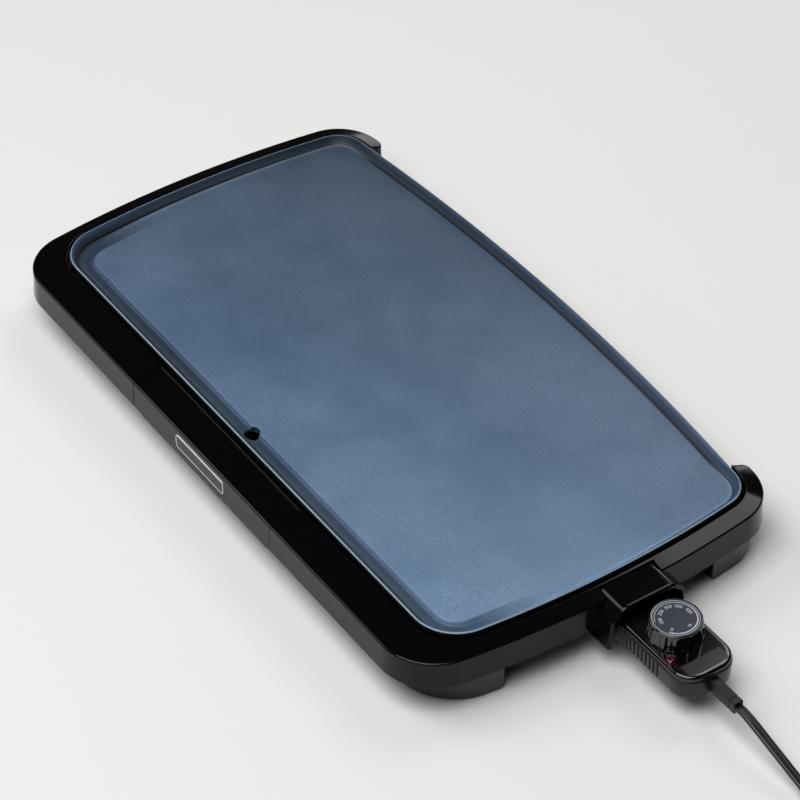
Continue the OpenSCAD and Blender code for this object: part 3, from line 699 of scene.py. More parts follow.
class GRIDDLE_OT_plate(bpy.types.Operator):
    """Adds the griddle plate: rim, stepped walls, channel, drain and surface"""

    bl_idname = "griddle.plate"
    bl_label = "Griddle Plate"

    def execute(self, context):
        cfg = context.scene.griddle_plate
        fall, depth = cfg.surface_fall / MM, cfg.channel_depth / MM
        rim = [(0, 52.3), (0.1, 52.65), (0.35, 52.9), (0.8, RIM_Z)]
        rows = [level(whole(plate_line(-u)), z) for u, z in rim]
        # Distances in from the outline: close together on the rim's bend, at
        # the foot of the wall and on the channel's inner side
        bend = [1.3, 1.5, 1.8, 2.3, 2.9, 3.6, 4.3, 5.0, 5.7, 6.4]
        foot = [6.9, 7.3, 7.8, 8.6, 9.8, 11.2, 12.8, 14.4, 15.6]
        rise = [16.4, 16.9, 17.3, 17.7, 18.1, 18.5, 19, 19.6, 21, 23]
        for u in bend + foot + rise:
            line = whole(plate_line(-u))
            rows.append(level(line, plate_height(u, line[:, 1], fall, depth)))
        edge = rows[-1]
        inner = [0.97, 0.9, 0.78, 0.62, 0.45, 0.28, 0.12, 0.02]
        for t in inner:
            p = edge[:, :2] * t
            rows.append(level(p, plate_height(rise[-1], p[:, 1], fall, depth)))
        g = np.array(rows)
        n, cols = g.shape[:2]
        faces = np.array(grid_faces(n, cols, close_cols=True)).reshape(n - 1, cols, 4)
        # The patch round the drain is left out and filled with rings that
        # run from the grid to the drain's circle
        r0, r1 = len(rim) + bend.index(4.3), n - len(inner)
        k = STOPS["patch"]
        keep = np.ones((n - 1, cols), bool)
        keep[r0:r1, :k] = False
        keep[r0:r1, cols - k :] = False
        s = Surface()
        faces = faces[keep].tolist()
        faces.append([(n - 1) * cols + c for c in range(cols)])
        s.add(g, faces)
        right = [r0 * cols + c for c in range(0, k + 1)]
        side = [r * cols + k for r in range(r0 + 1, r1 + 1)]
        far = [r1 * cols + c % cols for c in range(k - 1, -k - 1, -1)]
        left = [r * cols + cols - k for r in range(r1 - 1, r0 - 1, -1)]
        near = [r0 * cols + cols - c for c in range(k - 1, 0, -1)]
        loop = right + side + far + left + near
        flat = g.reshape(-1, 3)
        edge = flat[loop]
        circle = self.drain_circle(edge)
        rings = []
        for t in np.linspace(1 / 9, 1, 9):
            plan = edge[:, :2] * (1 - t) + circle(DRAIN[2] + 1.0) * t
            rings.append(level(plan, plate_height(plan[:, 1] + HALF_DEP, plan[:, 1], fall, depth)))
        brim = rings[-1][:, 2]
        for r, drop in [(0.72, 0.1), (0.3, 0.35), (0.05, 0.7), (0, 1.0), (0.1, 1.2)]:
            rings.append(level(circle(DRAIN[2] + r), brim - drop))
        for r, z in [(1.3, 41.3), (1.3, 38.9), (2.0, 38.9), (2.0, UNDER_Z)]:
            rings.append(level(circle(DRAIN[2] + r), z))
        m = len(loop)
        start = len(flat)
        s.add(np.array(rings), grid_faces(len(rings), m, close_cols=True))
        s.faces += [[loop[i], start + i, start + (i + 1) % m, loop[(i + 1) % m]] for i in range(m)]
        plate_painted_light(piece("Griddle Plate", s, "base", "nonstick_aluminium", "griddle_plate", angle=40))
        self.underside()
        return {"FINISHED"}

    def drain_circle(self, around):
        """Gives circles about the drain, by radius, whose points lie in the
        directions of the points around it."""
        angle = np.arctan2(around[:, 1] - DRAIN[1], around[:, 0] - DRAIN[0])
        way = np.stack([np.cos(angle), np.sin(angle)], 1)
        return lambda r: DRAIN[:2] + r * way

    def underside(self):
        """Outside of the rim and the black underside, open at the drain."""
        side = [(0, 52.3), (0, 49), (0.1, 48.3), (0.4, 48), (5.4, 48), (6, 47.4), (6, UNDER_Z)]
        rows = [level(whole(plate_line(-u)), z) for u, z in side]
        last = rows[-1]
        hole = self.drain_circle(last)(DRAIN[2] + 1.9)
        rows += [level(last[:, :2] * (1 - t) + hole * t, UNDER_Z) for t in (0.02, 0.5, 1)]
        s = Surface()
        s.grid(np.array(rows), close_cols=True)
        # Cast well for the sensor rod
        s.box((150, PROBE_Y - 8, 22.5), (256, PROBE_Y + 8, UNDER_Z + 0.5))
        piece(
            "Griddle Plate Underside", s, "base", "nonstick_aluminium", "griddle_plate",
            finish="plate_underside", angle=40,
        )


def frame_profile(edge, lip):
    """Closed section of the frame: lip beside the plate, top that falls
    outwards, rounded outer edge, skirt with a slight flare, and inside wall."""
    low = SHELF_Z[0] + 0.5
    outside = [(0, low), (0, LIP_Z), (13, EDGE_Z), (13.3, 36), (14, SKIRT_Z)]
    inside = [(11.7, SKIRT_Z), (11, 36), (10.7, 45.6), (2.4, 48.6), (2.4, low)]
    return rounded(outside + inside, [0.3, lip, edge, 0, 0.5, 0.5, 0, 1.5, 0.5, 0.3])


def shoulder_profile(edge, lip):
    """Section of the frame above the guard's shoulders: only its top."""
    low = SHELF_Z[0] + 0.5
    outside = [(0, low), (0, LIP_Z), (13, EDGE_Z), (13.2, 40.4)]
    inside = [(11, 40.4), (10.7, 45.6), (2.4, 48.6), (2.4, low)]
    return rounded(outside + inside, [0.3, lip, edge, 0, 0, 1.5, 0.5, 0.3])


class GRIDDLE_OT_frame(bpy.types.Operator):
    """Adds the black frame round both ends and the front"""

    bl_idname = "griddle.frame"
    bl_label = "Frame"

    def execute(self, context):
        cfg = context.scene.griddle_frame
        edge, lip = cfg.edge_radius / MM, cfg.lip_radius / MM
        low, top = SHELF_Z
        profile = frame_profile(edge, lip)
        line = lambda d: frame_line(d, back_x=EAR_X + EAR_R)
        # One outline is drawn first, for its STOPS
        line(0)
        seam, guard, after, ear, last = (STOPS[k] for k in ("seam", "guard", "after", "ear", "last"))
        s = Surface()

        def stretch(*args, flip=1, **kw):
            """Adds a swept stretch, on the left when flip is -1."""
            part = sweep(*args, **kw)
            s.add(np.concatenate(part.points) * [flip, 1, 1], part.faces)

        stretch(profile, line, seam, ear, tip=ear_tip, flip=-1)
        stretch(profile, line, seam, guard)
        stretch(profile, line, after, ear, tip=ear_tip)
        # Above the guard's shoulders only the top of the frame reaches in, and
        # over the guard itself only the lip is left
        for a, b in ((guard, guard + 1), (after - 1, after)):
            stretch(shoulder_profile(edge, lip), frame_line, a, b)
        over_guard = [(0, low + 0.5), (0, LIP_Z), (2.6, LIP_Z - 0.6), (2.6, low + 0.5)]
        stretch(rounded(over_guard, [0.3, lip, 0.5, 0.3]), frame_line, guard, after)
        # Shelf under the plate and the wall that closes the back
        for out, a, b in ((5.5, 0, ear), (-1, ear, last)):
            stretch([(out, low), (out, top), (-12, top), (-12, low)], plate_line, a, b, mirror=True)
        narrow = lambda u: plate_line(u, back_x=221.7)
        wall = [(-3.5, 25), (-1, 25), (-1, top - 0.2), (-3.5, top - 0.2)]
        stretch(rounded(wall, [0.4, 0.4, 0, 0]), narrow, ear, last, mirror=True)
        front = [(3, low), (3, LIP_Z - 0.1), (5.4, LIP_Z - 0.4), (5.4, low)]
        stretch(rounded(front, [0, lip, 0.5, 0]), plate_line, 0, seam, mirror=True)
        # Bosses over the tips of the eight leg screws
        end_x = END_CX + math.sqrt((END_R - 1) ** 2 - 99**2)
        back_y = BACK_CY + math.sqrt((BACK_R - 1) ** 2 - 240**2)
        boss = [(3.6, low), (3.6, 46.2), (3.2, 46.6), (0.05, 46.6)]
        for x, y in ((end_x, -99), (end_x, 99), (230, -134.3), (240, back_y)):
            for side in (-1, 1):
                s.turned(boss, (side * x, y), 20)
        piece("Frame", s, "base", "frame_black", "base_frame")
        return {"FINISHED"}


def guard_path(inset):
    """Half-open section of the socket guard, from its lower left edge over the
    top to its lower right edge, moved in by inset."""
    crown, shoulder = (21 - 0.4 * inset, 49.5 - inset), (31.7 - inset, 40.6 - 0.6 * inset)
    right = [crown, shoulder, (34 - inset, 16.0)]
    left = [(-y, z) for y, z in right[::-1]]
    return rounded(left + right, [0, 3, 9, 9, 3, 0], 10)


class GRIDDLE_OT_guard(bpy.types.Operator):
    """Adds the hood over the probe's socket"""

    bl_idname = "griddle.guard"
    bl_label = "Socket Guard"

    def execute(self, context):
        root, mouth, wall = 276.3, 302.5, 3.2
        # How far each ring is behind the mouth, and its inset: the mouth's
        # edge is a half round
        lip = [
            (2.9, 0), (1.6, 0.12), (0.6, 0.55), (0.1, 1.15), (0, 1.7), (0.1, 2.2), (0.5, 2.7), (1.3, 3.0),
        ]
        rings = [(root, 0), (root + 0.5, 0), *((mouth - back, inset) for back, inset in lip), (root, wall)]
        rows = []
        for x, inset in rings:
            p = guard_path(inset)
            rows.append(np.column_stack([np.full(len(p), x), p[:, 0] + PROBE_Y, p[:, 1]]))
        s = Surface()
        s.grid(np.array(rows), close_rows=True, cap_cols=True)
        for side in (-1, 1):
            y = PROBE_Y + side * 37.5
            s.box((278.6, y - 7.5, 29), (281.1, y + 7.5, 43))
        piece("Socket Guard", s, "base", "frame_black", "socket_guard")
        return {"FINISHED"}


class GRIDDLE_OT_legs(bpy.types.Operator):
    """Adds the four legs, which follow the plate's corners"""

    bl_idname = "griddle.legs"
    bl_label = "Legs"

    def execute(self, context):
        inner, outer = -8, 13
        profile = rounded([(inner, 38.4), (outer, 38.4), (12.6, 2), (-7.6, 2)], [0, 0, 1.2, 1.2], 4)

        def front(s):
            """Outline s mm out, its outer side moved 2 mm to the front."""
            by = 2 * (s - inner) / (outer - inner)
            return plate_line(s, front_x=222, ys=(by - 93, 0)) - [0, by]

        def back(s):
            """Outline s mm out, its outer side moved 4 mm to the front."""
            by = 4 * (s - inner) / (outer - inner)
            return plate_line(s, back_x=222, ys=(0, 90 + by)) - [0, by]

        for where, line, a, b in (("front", front, "seam", "guard"), ("back", back, "after", "ear")):
            for side, flip in (("right", 1), ("left", -1)):
                # One outline is drawn first, for its STOPS
                line(0)
                part = sweep(profile, line, STOPS[a], STOPS[b])
                s = Surface()
                s.add(np.concatenate(part.points) * [flip, 1, 1], part.faces)
                piece(f"Leg {where} {side}", s, "base", "leg_black", f"leg_{where}_{side}", bevel=1.2)
        return {"FINISHED"}


def rectangle(w, h, radius, count):
    """A w by h rectangle about its middle with rounded corners."""
    corners = [(-w / 2, -h / 2), (w / 2, -h / 2), (w / 2, h / 2), (-w / 2, h / 2)]
    return rounded(corners, [radius] * 4, count)


class GRIDDLE_OT_tray(bpy.types.Operator):
    """Adds the drip tray's front, top and basin, and the blank badge"""

    bl_idname = "griddle.tray"
    bl_label = "Drip Tray"

    def execute(self, context):
        self.front(context.scene.griddle_frame.edge_radius / MM)
        self.basin()
        self.badge()
        return {"FINISHED"}

    def front(self, edge):
        """Front panel and top strip, which carry on the frame's section."""
        back = -141.2
        z_back = LIP_Z - 2.9 * (LIP_Z - EDGE_Z) / 27.2
        outside = [(back, z_back), (-165.5, EDGE_Z), (-165.8, 36), (-166.5, SKIRT_Z)]
        inside = [(-163.6, SKIRT_Z), (-163, 36), (-162.8, 45.6), (back, z_back - 2.5)]
        profile = rounded(outside + inside, [0.4, edge, 0, 0.5, 0.5, 0, 1.5, 0.4])
        # The ends are slightly rounded: the section draws in by k
        rows = []
        for x, k in zip([-93.85, -93.55, -93.4, 93.4, 93.55, 93.85], [0.3, 0.07, 0, 0, 0.07, 0.3]):
            p = profile.copy()
            p[:, 0] += np.where(p[:, 0] < -164.5, k, 0)
            p[:, 1] -= np.where(p[:, 1] > 46.5, k, 0)
            rows.append(np.column_stack([np.full(len(p), x), p]))
        s = Surface()
        s.grid(np.array(rows), close_cols=True, cap_rows=True)
        for x in (-70, 0, 70):
            s.box((x - 1, -163, 36.5), (x + 1, -142, 46))
        piece("Drip Tray Front", s, "tray", "frame_black", "drip_tray")

    def basin(self):
        """Grease basin and the two flanges it slides on."""
        half, middle, wall = np.array([88, 42.5]), np.array([0, -122.0]), 2
        corners = [(-88, -42.5), (88, -42.5), (88, 42.5), (-88, 42.5)]
        outer = rounded(corners, [4, 4, 8, 8], 8)

        def ring(inset, z):
            return level(middle + outer * (half - inset) / half, z)

        outside = [(1.5, 19), (0.4, 19.5), (0, 20.6), (0, 37), (0.3, 37)]
        inside = [(wall, 36.9), (wall, 22.6), (wall + 0.5, 21.5), (wall + 1.6, 21)]
        s = Surface()
        s.grid(np.array([ring(*r) for r in outside + inside]), close_cols=True, cap_rows=True)
        for side in (-1, 1):
            x = sorted((side * 87, side * 92.6))
            s.box((x[0], -160.5, 34.1), (x[1], -79.5, 36.7))
        piece("Drip Tray Basin", s, "tray", "frame_black", "drip_tray")

    def badge(self):
        """Blank badge: a black plate with a raised silver border."""
        back, front = -165.4, -166.35

        def ring(w, h, r, y):
            c = rectangle(w, h, r, 8)
            return np.column_stack([c[:, 0], np.full(len(c), y), c[:, 1] + RIM_Z - 16])

        plate = [(64.2, 11.4, 2.4, back), (64.2, 11.4, 2.4, front + 0.12), (63.9, 11.1, 2.3, front)]
        border = [
            (65, 12, 2.8, back), (65, 12, 2.8, front - 0.02), (64.8, 11.8, 2.75, front - 0.05),
            (63.4, 10.4, 2.1, front - 0.05), (63.2, 10.2, 2.0, front - 0.02), (63.2, 10.2, 2.0, front + 0.1),
        ]
        s = Surface().grid(np.array([ring(*r) for r in plate]), close_cols=True, cap_rows=True)
        piece("Badge Plate", s, "tray", "frame_black", "tray_badge")
        s = Surface().grid(np.array([ring(*r) for r in border]), close_cols=True)
        piece("Badge Border", s, "tray", "badge_silver", "tray_badge")


# ------------------------------------------------------------------ the probe


def probe_plan(inset, ribs=0.0, count=10, pitch=4.3):
    """Outline of the probe's housing moved in by inset: straight sides, a
    far end with round corners of radius 17. ribs is the depth of the grooves
    between the grip ribs, each a raised cosine cut flat at the crest."""
    half, r = 24.6 - inset, 17 - inset
    x0, x1 = 284 + inset, 375 - inset
    xs = np.concatenate([[x0], np.linspace(298, 346, 337), [x1 - r - 1.5]])
    start = 303.0

    def depth(x):
        phase = (x - start) / pitch
        inside = smooth((x - start + 2.2) / 0.8) * smooth((start + count * pitch - x + 0.4) / 0.8)
        wave = 0.5 + 0.5 * np.cos(2 * math.pi * phase)
        crest = np.clip(wave * 1.7, 0, 1)
        return inside * (1 - smooth(crest))

    side = half - ribs * depth(xs)
    low = np.column_stack([xs, -side])
    corner_a = arc((x1 - r, -half + r), r, -90, 0, 16, True)
    corner_b = arc((x1 - r, half - r), r, 0, 90, 16, True)
    high = np.column_stack([xs[::-1], side[::-1]])
    return np.concatenate([low, corner_a, corner_b, high]) + [0, PROBE_Y]


class GRIDDLE_OT_probe(bpy.types.Operator):
    """Adds the probe's two covers, pilot lens and strain relief"""

    bl_idname = "griddle.probe"
    bl_label = "Temperature Probe"

    def execute(self, context):
        cfg = context.scene.griddle_probe
        self.covers(cfg.grip_ribs, cfg.rib_pitch / MM)
        self.label_and_lens()
        self.strain_relief()
        return {"FINISHED"}

    def covers(self, count, pitch):
        """Ribbed bottom cover and smooth top cover, 0.1 mm apart at the seam."""
        outside = [
            (3.0, 18.0, 0.5), (1.6, 18.1, 0.9), (0.8, 18.6, 1.1), (0.45, 19.6, 1.3), (0.15, 27, 1.35),
            (0, 32.2, 1.35), (0.05, 33.2, 1.1), (0.3, 33.9, 0.6), (0.7, 34.25, 0.2), (1.0, 34.3, 0),
        ]
        inside = [(2.2, 34.3, 0), (2.4, 20.2, 0)]
        rows = [level(probe_plan(inset, ribs, count, pitch), z) for inset, z, ribs in outside + inside]
        s = Surface().grid(np.array(rows), close_cols=True, cap_rows=True)
        piece("Probe Bottom Cover", s, "probe", "probe_matte", "probe_bottom_cover", angle=45)

        seam = [(2.4, 34.9), (2.2, 34.4), (0.9, 34.4), (0.75, 34.6), (0.7, 35.4)]
        crown = [(0.85, 36.3), (1.25, 37.1), (1.9, 37.65), (2.8, 37.93), (3.8, 38.0), (5, 38.0)]
        rows = [level(probe_plan(inset), z) for inset, z in seam + crown]
        s = Surface().grid(np.array(rows), close_cols=True, cap_rows=True)
        piece("Probe Top Cover", s, "probe", "probe_gloss", "probe_top_cover")

    def label_and_lens(self):
        """Blank label plate across the far end, and the domed pilot lens."""
        middle = np.array([364.0, PROBE_Y - 0.35])
        plan = rectangle(11.6, 34.3, 0.8, 4)
        edge = [(1, 37.8), (1, 38.12), (0.985, 38.22), (0.965, 38.24)]
        rows = [level(middle + plan * k, z) for k, z in edge]
        s = Surface().grid(np.array(rows), close_cols=True, cap_rows=True)
        piece(
            "Probe Label Plate", s, "probe", "probe_gloss", "probe_top_cover", finish="label_plate", angle=30
        )
        flange = [(2.8, 35.0), (5, 35.2), (5, 36.9), (4, 37.2), (4, 38.2)]
        dome = [(3.95, 38.8), (3.7, 39.5), (3.2, 40.1), (2.5, 40.6), (1.6, 40.9), (0.8, 41.05), (0.05, 41.1)]
        s = Surface().turned(flange + dome, (351, PROBE_Y - 19), 40)
        piece("Pilot Lens", s, "probe", "lens_red", "pilot_lens")

    def strain_relief(self):
        """Tapered block with one groove round it near its end."""

        def block(x, w, h):
            c = rectangle(w, h, 1.1, 4)
            return np.column_stack([np.full(len(c), x), c[:, 0] + PROBE_Y, c[:, 1] + 26])

        root = [(373, 8, 10), (376, 8, 10), (395.4, 8, 9.6)]
        groove = [(395.7, 7.2, 8.8), (396.3, 7.2, 8.8), (396.6, 8, 9.6)]
        tip = [(400.6, 8, 9.6), (401.2, 7.7, 9.3), (401.5, 7.0, 8.6)]
        rows = [block(*station) for station in root + groove + tip]
        s = Surface().grid(np.array(rows), close_cols=True, cap_rows=True)
        piece("Strain Relief", s, "probe", "relief_pvc", "strain_relief")


def digits(text, size, place, angle):
    """Raised digits as points and faces: size and place in mm, their tops
    turned to angle in radians."""
    curve = bpy.data.curves.new("Digits", "FONT")
    curve.body = text
    curve.size = size * MM
    curve.align_x = "CENTER"
    curve.align_y = "CENTER"
    curve.extrude = 0.03 * MM
    curve.resolution_u = 3
    temp = bpy.data.objects.new("Digits", curve)
    mesh = bpy.data.meshes.new_from_object(temp)
    bpy.data.objects.remove(temp)
    bpy.data.curves.remove(curve)
    at = Vector((np.array(place) - MID) * MM)
    mesh.transform(Matrix.Translation(at) @ Matrix.Rotation(angle - math.pi / 2, 4, "Z"))
    co = np.empty(len(mesh.vertices) * 3)
    mesh.vertices.foreach_get("co", co)
    faces = [list(p.vertices) for p in mesh.polygons]
    bpy.data.meshes.remove(mesh)
    return co.reshape(-1, 3) / MM + MID, faces


class GRIDDLE_OT_dial(bpy.types.Operator):
    """Adds the fluted knob, its disc and the printed scale"""

    bl_idname = "griddle.dial"
    bl_label = "Dial"
    # The dial's zero direction, and the height of its print
    turn = math.radians(55.5)
    print_z = 52.84

    def execute(self, context):
        self.knob(context.scene.griddle_probe.knob_flutes)
        disc = [(17.1, 52.2), (17.1, 52.7), (16.95, 52.8), (0.05, 52.8)]
        s = Surface().turned(disc, (SHAFT_X, PROBE_Y), 96)
        piece("Dial Disc", s, "dial", "dial_print", "dial_plate", angle=30)
        self.scale()
        return {"FINISHED"}

    def knob(self, flutes):
        """Fluted knob: wide shallow scoops between narrow ridges, which die out
        at its foot and below its rounded top edge."""

        def radius(r, z, a):
            phase = ((a - self.turn) * flutes / (2 * math.pi)) % 1
            scoop = smooth((0.5 - abs(phase - 0.5)) / 0.5 * 1.9 - 0.25)
            depth = 1.15 * smooth((51.6 - z) / 1.2) * smooth((z - 38.9) / 0.8)
            return r - depth * scoop * (r > 17.5)

        foot = [(6, 40), (15, 40), (15, 38.5), (19.9, 38.4), (20.25, 38.7), (20.3, 39.3), (20.2, 40.2)]
        side = [(19.9, 43), (19.5, 46.5), (19.2, 49.6), (19.1, 50.6), (19.0, 51.3), (18.85, 52.1)]
        rim = [(18.55, 52.65), (18.1, 52.93), (17.6, RIM_Z), (17.3, 52.9), (17.2, 52.6), (17.2, 52.25)]
        s = Surface().turned(foot + side + rim, (SHAFT_X, PROBE_Y), 360, radius)
        piece("Dial Knob", s, "dial", "knob_black", "dial_knob")

    def scale(self):
        """Printed ring, tapering scale, figures and keep-warm mark."""
        s = Surface()

        def band(a0, a1, w0, w1, r):
            """Ribbon of middle radius r from angle a0 to a1, w0 to w1 wide."""
            a = np.radians(np.linspace(a0, a1, 90)) + self.turn
            w = np.linspace(w0, w1, 90)
            edges = []
            for rr in (r - 0.5 * w, r + 0.5 * w):
                x, y = SHAFT_X + rr * np.cos(a), PROBE_Y + rr * np.sin(a)
                edges.append(np.stack([x, y, np.full(90, self.print_z)], 1))
            s.grid(np.array(edges))

        band(0, 360, 0.42, 0.42, 16.6)
        # Scale: thin at its start beside the first number, thick at its end
        band(196, 90, 0.35, 0.45, 14.9)
        band(90, -20, 0.45, 1.0, 14.9)
        band(-20, -112, 1.0, 0.75, 14.9)
        for label, r, angle, size in [
            ("0", 11.4, -108, 4.2), ("200", 11.0, 196, 3.9), ("250", 11.2, 154, 3.9),
            ("300", 11.3, 116, 3.9), ("350", 11.3, 78, 3.9), ("400", 11.3, 36, 3.9),
        ]:
            q = math.radians(angle) + self.turn
            place = (SHAFT_X + r * math.cos(q), PROBE_Y + r * math.sin(q), self.print_z)
            s.add(*digits(label, size, place, q))
        # Keep-warm mark: three short bars
        for middle in (-43, -38, -33):
            band(middle - 1.2, middle + 1.2, 1.9, 1.9, 11.3)
        piece("Dial Scale", s, "dial", "dial_print", "dial_plate", finish="dial_white", angle=30)


class GRIDDLE_OT_hardware(bpy.types.Operator):
    """Gives the plain metal, ceramic and rubber parts their finishes"""

    bl_idname = "griddle.hardware"
    bl_label = "Hardware Finishes"

    def execute(self, context):
        slots = {e["node"]: e["material_slot"] for e in frame["record"]["subparts"]}
        for name, obj in frame["nodes"].items():
            if obj.hide_render:
                continue
            obj.data.materials.clear()
            obj.data.materials.append(material(slots[name]))
            obj.data.shade_smooth()
            obj.data.set_sharp_from_angle(angle=math.radians(32))
        return {"FINISHED"}


# ------------------------------------------------------------------- the lead


# Centreline of the lead from the strain relief to the start of its coil
LEAD_ROUTE = [
    (401.5, 12, 26), (407, 12, 26), (416, 12, 24.5), (426, 12, 22),
    (436, 12, 19.5), (447, 12, 16.8), (458, 12, 14), (469, 12, 11.2),
    (480, 12, 8.5), (491, 12, 6.1), (502, 12, 4.4), (513, 12, 3.8),
    (524, 12, 4.0), (534, 12, 4.2), (544, 12, 4.25),
]
# Middle of the coil, and the radii of its outer and inner turns
COIL = (556.0, -30.5, 42.5, 29.5)
PLUG_Y, PLUG_Z = -76.0, 8.0


def lead_path(turns):
    """Centreline of the lead and its twist: the route from the strain relief,
    a spiral r = r0 - (r0 - r1) a / A that turns clockwise over the angle A,
    and a tail that crosses over the turns to the plug. The twist is 0 where
    the lead lies flat and 90 degrees where it stands on edge."""
    cx, cy, r0, r1 = COIL
    # Catmull-Rom through the route's points
    run = np.array(LEAD_ROUTE, float)
    fine = np.linspace(0, len(run) - 1, 90)
    pad = np.vstack([2 * run[0] - run[1], run, 2 * run[-1] - run[-2]])
    i = np.minimum(fine.astype(int), len(run) - 2)
    f = (fine - i)[:, None]
    p0, p1, p2, p3 = (pad[i + k] for k in range(4))
    curve = 2 * p0 - 5 * p1 + 4 * p2 - p3
    run = 0.5 * (2 * p1 + (p2 - p0) * f + curve * f**2 + (3 * p1 - p0 - 3 * p2 + p3) * f**3)
    # The spiral rises by 7 mm over its last 85 degrees
    total = math.radians(90 + 360 * turns)
    a = np.linspace(0, total, 110 * turns + 28)
    r = r0 + (r1 - r0) * a / total
    lift = smooth(1 - (total - a) / math.radians(85))
    spiral = np.stack([cx + r * np.sin(a), cy + r * np.cos(a), 4.3 + 7.0 * lift], 1)
    # The tail dips a little between the coil and the plug's height
    x, y0, z0 = spiral[-1]
    y = np.linspace(y0, PLUG_Y - 0.5, 30)[1:]
    k = (y0 - y) / (y0 - PLUG_Y + 0.5)
    settled = smooth((k - 0.55) / 0.45)
    z = z0 + (PLUG_Z - z0) * settled - 1.4 * smooth(k / 0.35) * (1 - settled)
    tail = np.stack([np.full(len(y), x), y, z], 1)
    path = np.concatenate([run, spiral, tail])
    twist = np.concatenate([
        90 * smooth((run[:, 0] - 470) / 66),
        90 * np.ones(len(spiral)),
        90 * (1 - smooth(k / 0.3)),
    ])
    return path, twist


def lead_section(width, thickness):
    """Section of a flat two-core lead: two round lobes with a groove between,
    x = w/2 |cos a|^0.9, z = t/2 |sin a|^0.6 (1 - 0.34 exp(-(x / 0.17w)^2)),
    each with the sign of its cosine or sine."""
    a = np.linspace(0, 2 * math.pi, 28, endpoint=False)
    x = width / 2 * np.sign(np.cos(a)) * np.abs(np.cos(a)) ** 0.9
    z = thickness / 2 * np.sign(np.sin(a)) * np.abs(np.sin(a)) ** 0.6
    return x, z * (1 - 0.34 * np.exp(-((x / (0.17 * width)) ** 2)))


class GRIDDLE_OT_lead(bpy.types.Operator):
    """Adds the mains lead, its coil, tie and plug"""

    bl_idname = "griddle.lead"
    bl_label = "Mains Lead"

    def execute(self, context):
        cfg = context.scene.griddle_lead
        path, twist = lead_path(cfg.turns)
        tangent = np.gradient(path, axis=0)
        tangent /= np.linalg.norm(tangent, axis=1)[:, None]
        side = np.cross(tangent, [0, 0, 1.0])
        side /= np.linalg.norm(side, axis=1)[:, None]
        up = np.cross(side, tangent)
        q = np.radians(twist)[:, None]
        u = side * np.cos(q) + up * np.sin(q)
        v = up * np.cos(q) - side * np.sin(q)
        x, z = lead_section(cfg.width / MM, cfg.thickness / MM)
        rows = path[:, None, :] + u[:, None, :] * x[None, :, None] + v[:, None, :] * z[None, :, None]
        s = Surface().grid(rows, close_cols=True, cap_rows=True)
        lead = piece(
            "Mains Lead", s, "probe", "cord_pvc", "cord_run", "cord_coil", "cord_tail", angle=60
        )
        tie, plug = self.tie(), self.plug(path[-1][0])
        return {"FINISHED"}

    def tie(self):
        """Flat loop of coated wire round the coil's turns on one side."""
        cx, cy, r0, r1 = COIL
        x0, x1, z0, z1 = -r0 - 2.6, -r1 + 2.6, 0.5, 8.9
        loop = rounded([(x0, z0), (x1, z0), (x1, z1), (x0, z1)], [2.4] * 4, 6)
        middle, half = loop.mean(0), (loop.max(0) - loop.min(0)) / 2

        def ring(y, inset):
            p = middle + (loop - middle) * (half - inset) / half
            return np.column_stack([p[:, 0] + cx, np.full(len(p), y + cy), p[:, 1]])

        outside = [(-2.2, 0.25), (-1.8, 0), (1.8, 0), (2.2, 0.25)]
        inside = [(2.2, 0.9), (-2.2, 0.9)]
        rows = [ring(*r) for r in outside + inside]
        s = Surface().grid(np.array(rows), close_rows=True, close_cols=True)
        return piece("Lead Tie", s, "probe", "tie_black", "cord_tie")

    def plug(self, px):
        """Flat two-pole plug: a moulded body with grip steps and a short neck.
        Each ring has its distance from the neck, width, height and corners."""
        neck = [(0.2, 8.6, 5.4, 2.4), (1.0, 9.6, 6.2, 2.8), (4.5, 10.6, 7.2, 3.2)]
        shoulder = [(7.6, 13.0, 9.6, 3.8), (9.4, 18.0, 13.4, 4.2), (11.5, 21.6, 15.0, 4.4)]
        grip = [
            (14, 22.6, 15.4, 4.2), (14.8, 21.6, 14.4, 4.0), (16.2, 21.6, 14.4, 4.0), (17, 22.8, 15.4, 4.2),
            (19, 22.8, 15.4, 4.2), (19.8, 21.8, 14.4, 4.0), (21.2, 21.8, 14.4, 4.0), (22, 23.2, 15.5, 4.2),
        ]
        face = [(28.4, 24.0, 15.6, 4.0), (29.5, 23.5, 15.2, 3.8), (30.0, 22.4, 14.2, 3.4)]
        rows = []
        for back, w, h, r in neck + shoulder + grip + face:
            c = rectangle(w, h, r, 6)
            rows.append(np.column_stack([c[:, 0] + px, np.full(len(c), PLUG_Y - back), c[:, 1] + PLUG_Z]))
        s = Surface().grid(np.array(rows), close_cols=True, cap_rows=True)
        return piece("Plug Body", s, "probe", "cord_pvc", "plug_body", angle=50)


# ------------------------------------------------------------------ the stage


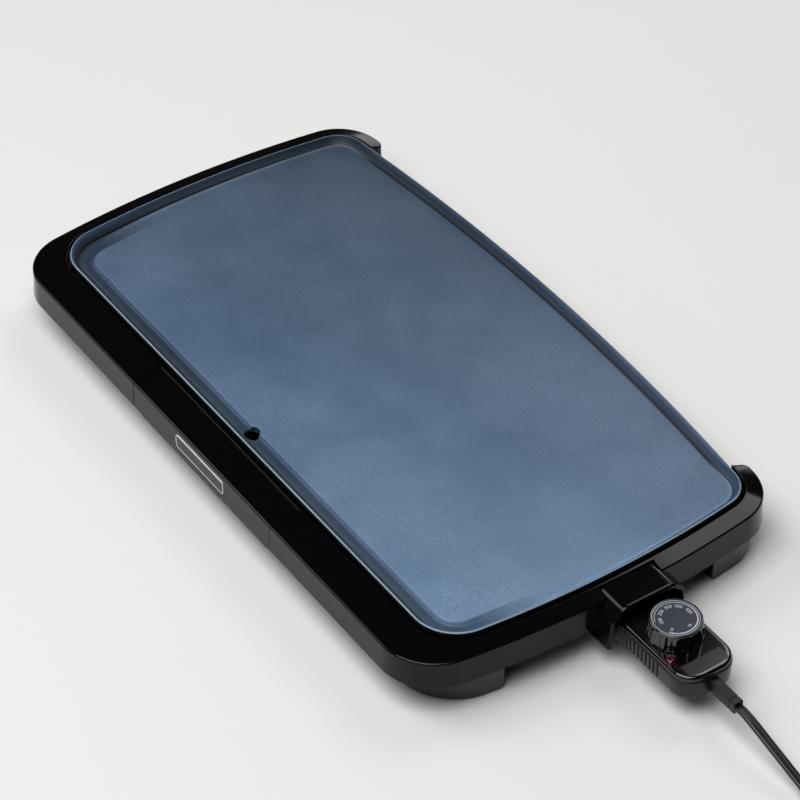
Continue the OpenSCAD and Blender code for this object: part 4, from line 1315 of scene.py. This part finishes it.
class GRIDDLE_OT_stage(bpy.types.Operator):
    """Adds the plain pale floor and the soft studio light"""

    bl_idname = "griddle.stage"
    bl_label = "Stage"

    def execute(self, context):
        half = 6.0
        corners = [(-half, -half, 0), (half, -half, 0), (half, half, 0), (-half, half, 0)]
        mesh = bpy.data.meshes.new("Floor")
        mesh.from_pydata(corners, [], [(0, 1, 2, 3)])
        floor = bpy.data.objects.new("Floor", mesh)
        context.scene.collection.objects.link(floor)
        mesh.materials.append(shader("Floor Pale Matte", "E4E3E1", 0.6))
        # Watts, size and place in metres; each is turned to the origin
        for name, energy, size, place in [
            ("Key Softbox", 25, (1.5, 1.5), (-1.9, -1.1, 2.1)),
            ("Overhead Softbox", 72, (2.2, 2.2), (0.3, -0.95, 2.65)),
            ("Back Panel", 15, (1.2, 1.2), (-0.72, 1.79, 2.30)),
            ("Rear Strip", 6, (1.8, 0.5), (-1.4, 1.9, 0.7)),
            ("Front Strip", 4, (2.4, 0.35), (0.9, -2.5, 1.3)),
        ]:
            data = bpy.data.lights.new(name, "AREA")
            data.shape = "RECTANGLE"
            data.energy = energy
            data.size, data.size_y = size
            obj = bpy.data.objects.new(name, data)
            context.scene.collection.objects.link(obj)
            obj.location = place
            obj.rotation_euler = (-Vector(place)).to_track_quat("-Z", "Y").to_euler()
        world = bpy.data.worlds.new("Studio")
        world.use_nodes = True
        background = world.node_tree.nodes["Background"]
        background.inputs["Color"].default_value = linear("FFFFFF")
        background.inputs["Strength"].default_value = 0.02
        context.scene.world = world
        context.scene.view_settings.view_transform = "Standard"
        return {"FINISHED"}


class GRIDDLE_PT_panel(bpy.types.Panel):
    """Lists the steps that build the griddle"""

    bl_label = "Electric Griddle"
    bl_idname = "GRIDDLE_PT_panel"
    bl_space_type = "VIEW_3D"
    bl_region_type = "UI"
    bl_category = "Griddle"

    def draw(self, context):
        layout = self.layout
        for name in GROUPS:
            group = getattr(context.scene, name)
            box = layout.box()
            for key in group.__annotations__:
                box.prop(group, key)
        for op in OPERATORS:
            layout.operator(op.bl_idname)


OPERATORS = (
    GRIDDLE_OT_camera, GRIDDLE_OT_lead, GRIDDLE_OT_plate, GRIDDLE_OT_frame, GRIDDLE_OT_guard,
    GRIDDLE_OT_legs, GRIDDLE_OT_tray, GRIDDLE_OT_probe, GRIDDLE_OT_dial, GRIDDLE_OT_hardware,
    GRIDDLE_OT_stage,
)
GROUPS = {
    "griddle_plate": GriddlePlateSettings,
    "griddle_frame": GriddleFrameSettings,
    "griddle_probe": GriddleProbeSettings,
    "griddle_lead": GriddleLeadSettings,
}


def register():
    """Registers the classes and gives the scene its settings."""
    for cls in (*GROUPS.values(), *OPERATORS, GRIDDLE_PT_panel):
        bpy.utils.register_class(cls)
    for name, cls in GROUPS.items():
        setattr(bpy.types.Scene, name, PointerProperty(type=cls))


def unregister():
    """Takes the settings and the classes away again."""
    for name in GROUPS:
        delattr(bpy.types.Scene, name)
    for cls in reversed((*GROUPS.values(), *OPERATORS, GRIDDLE_PT_panel)):
        bpy.utils.unregister_class(cls)


def main():
    """Builds the griddle piece by piece."""
    register()
    for op in OPERATORS:
        getattr(bpy.ops.griddle, op.bl_idname.split(".")[1])()
    bpy.context.view_layer.update()


if __name__ == "__main__":
    main()
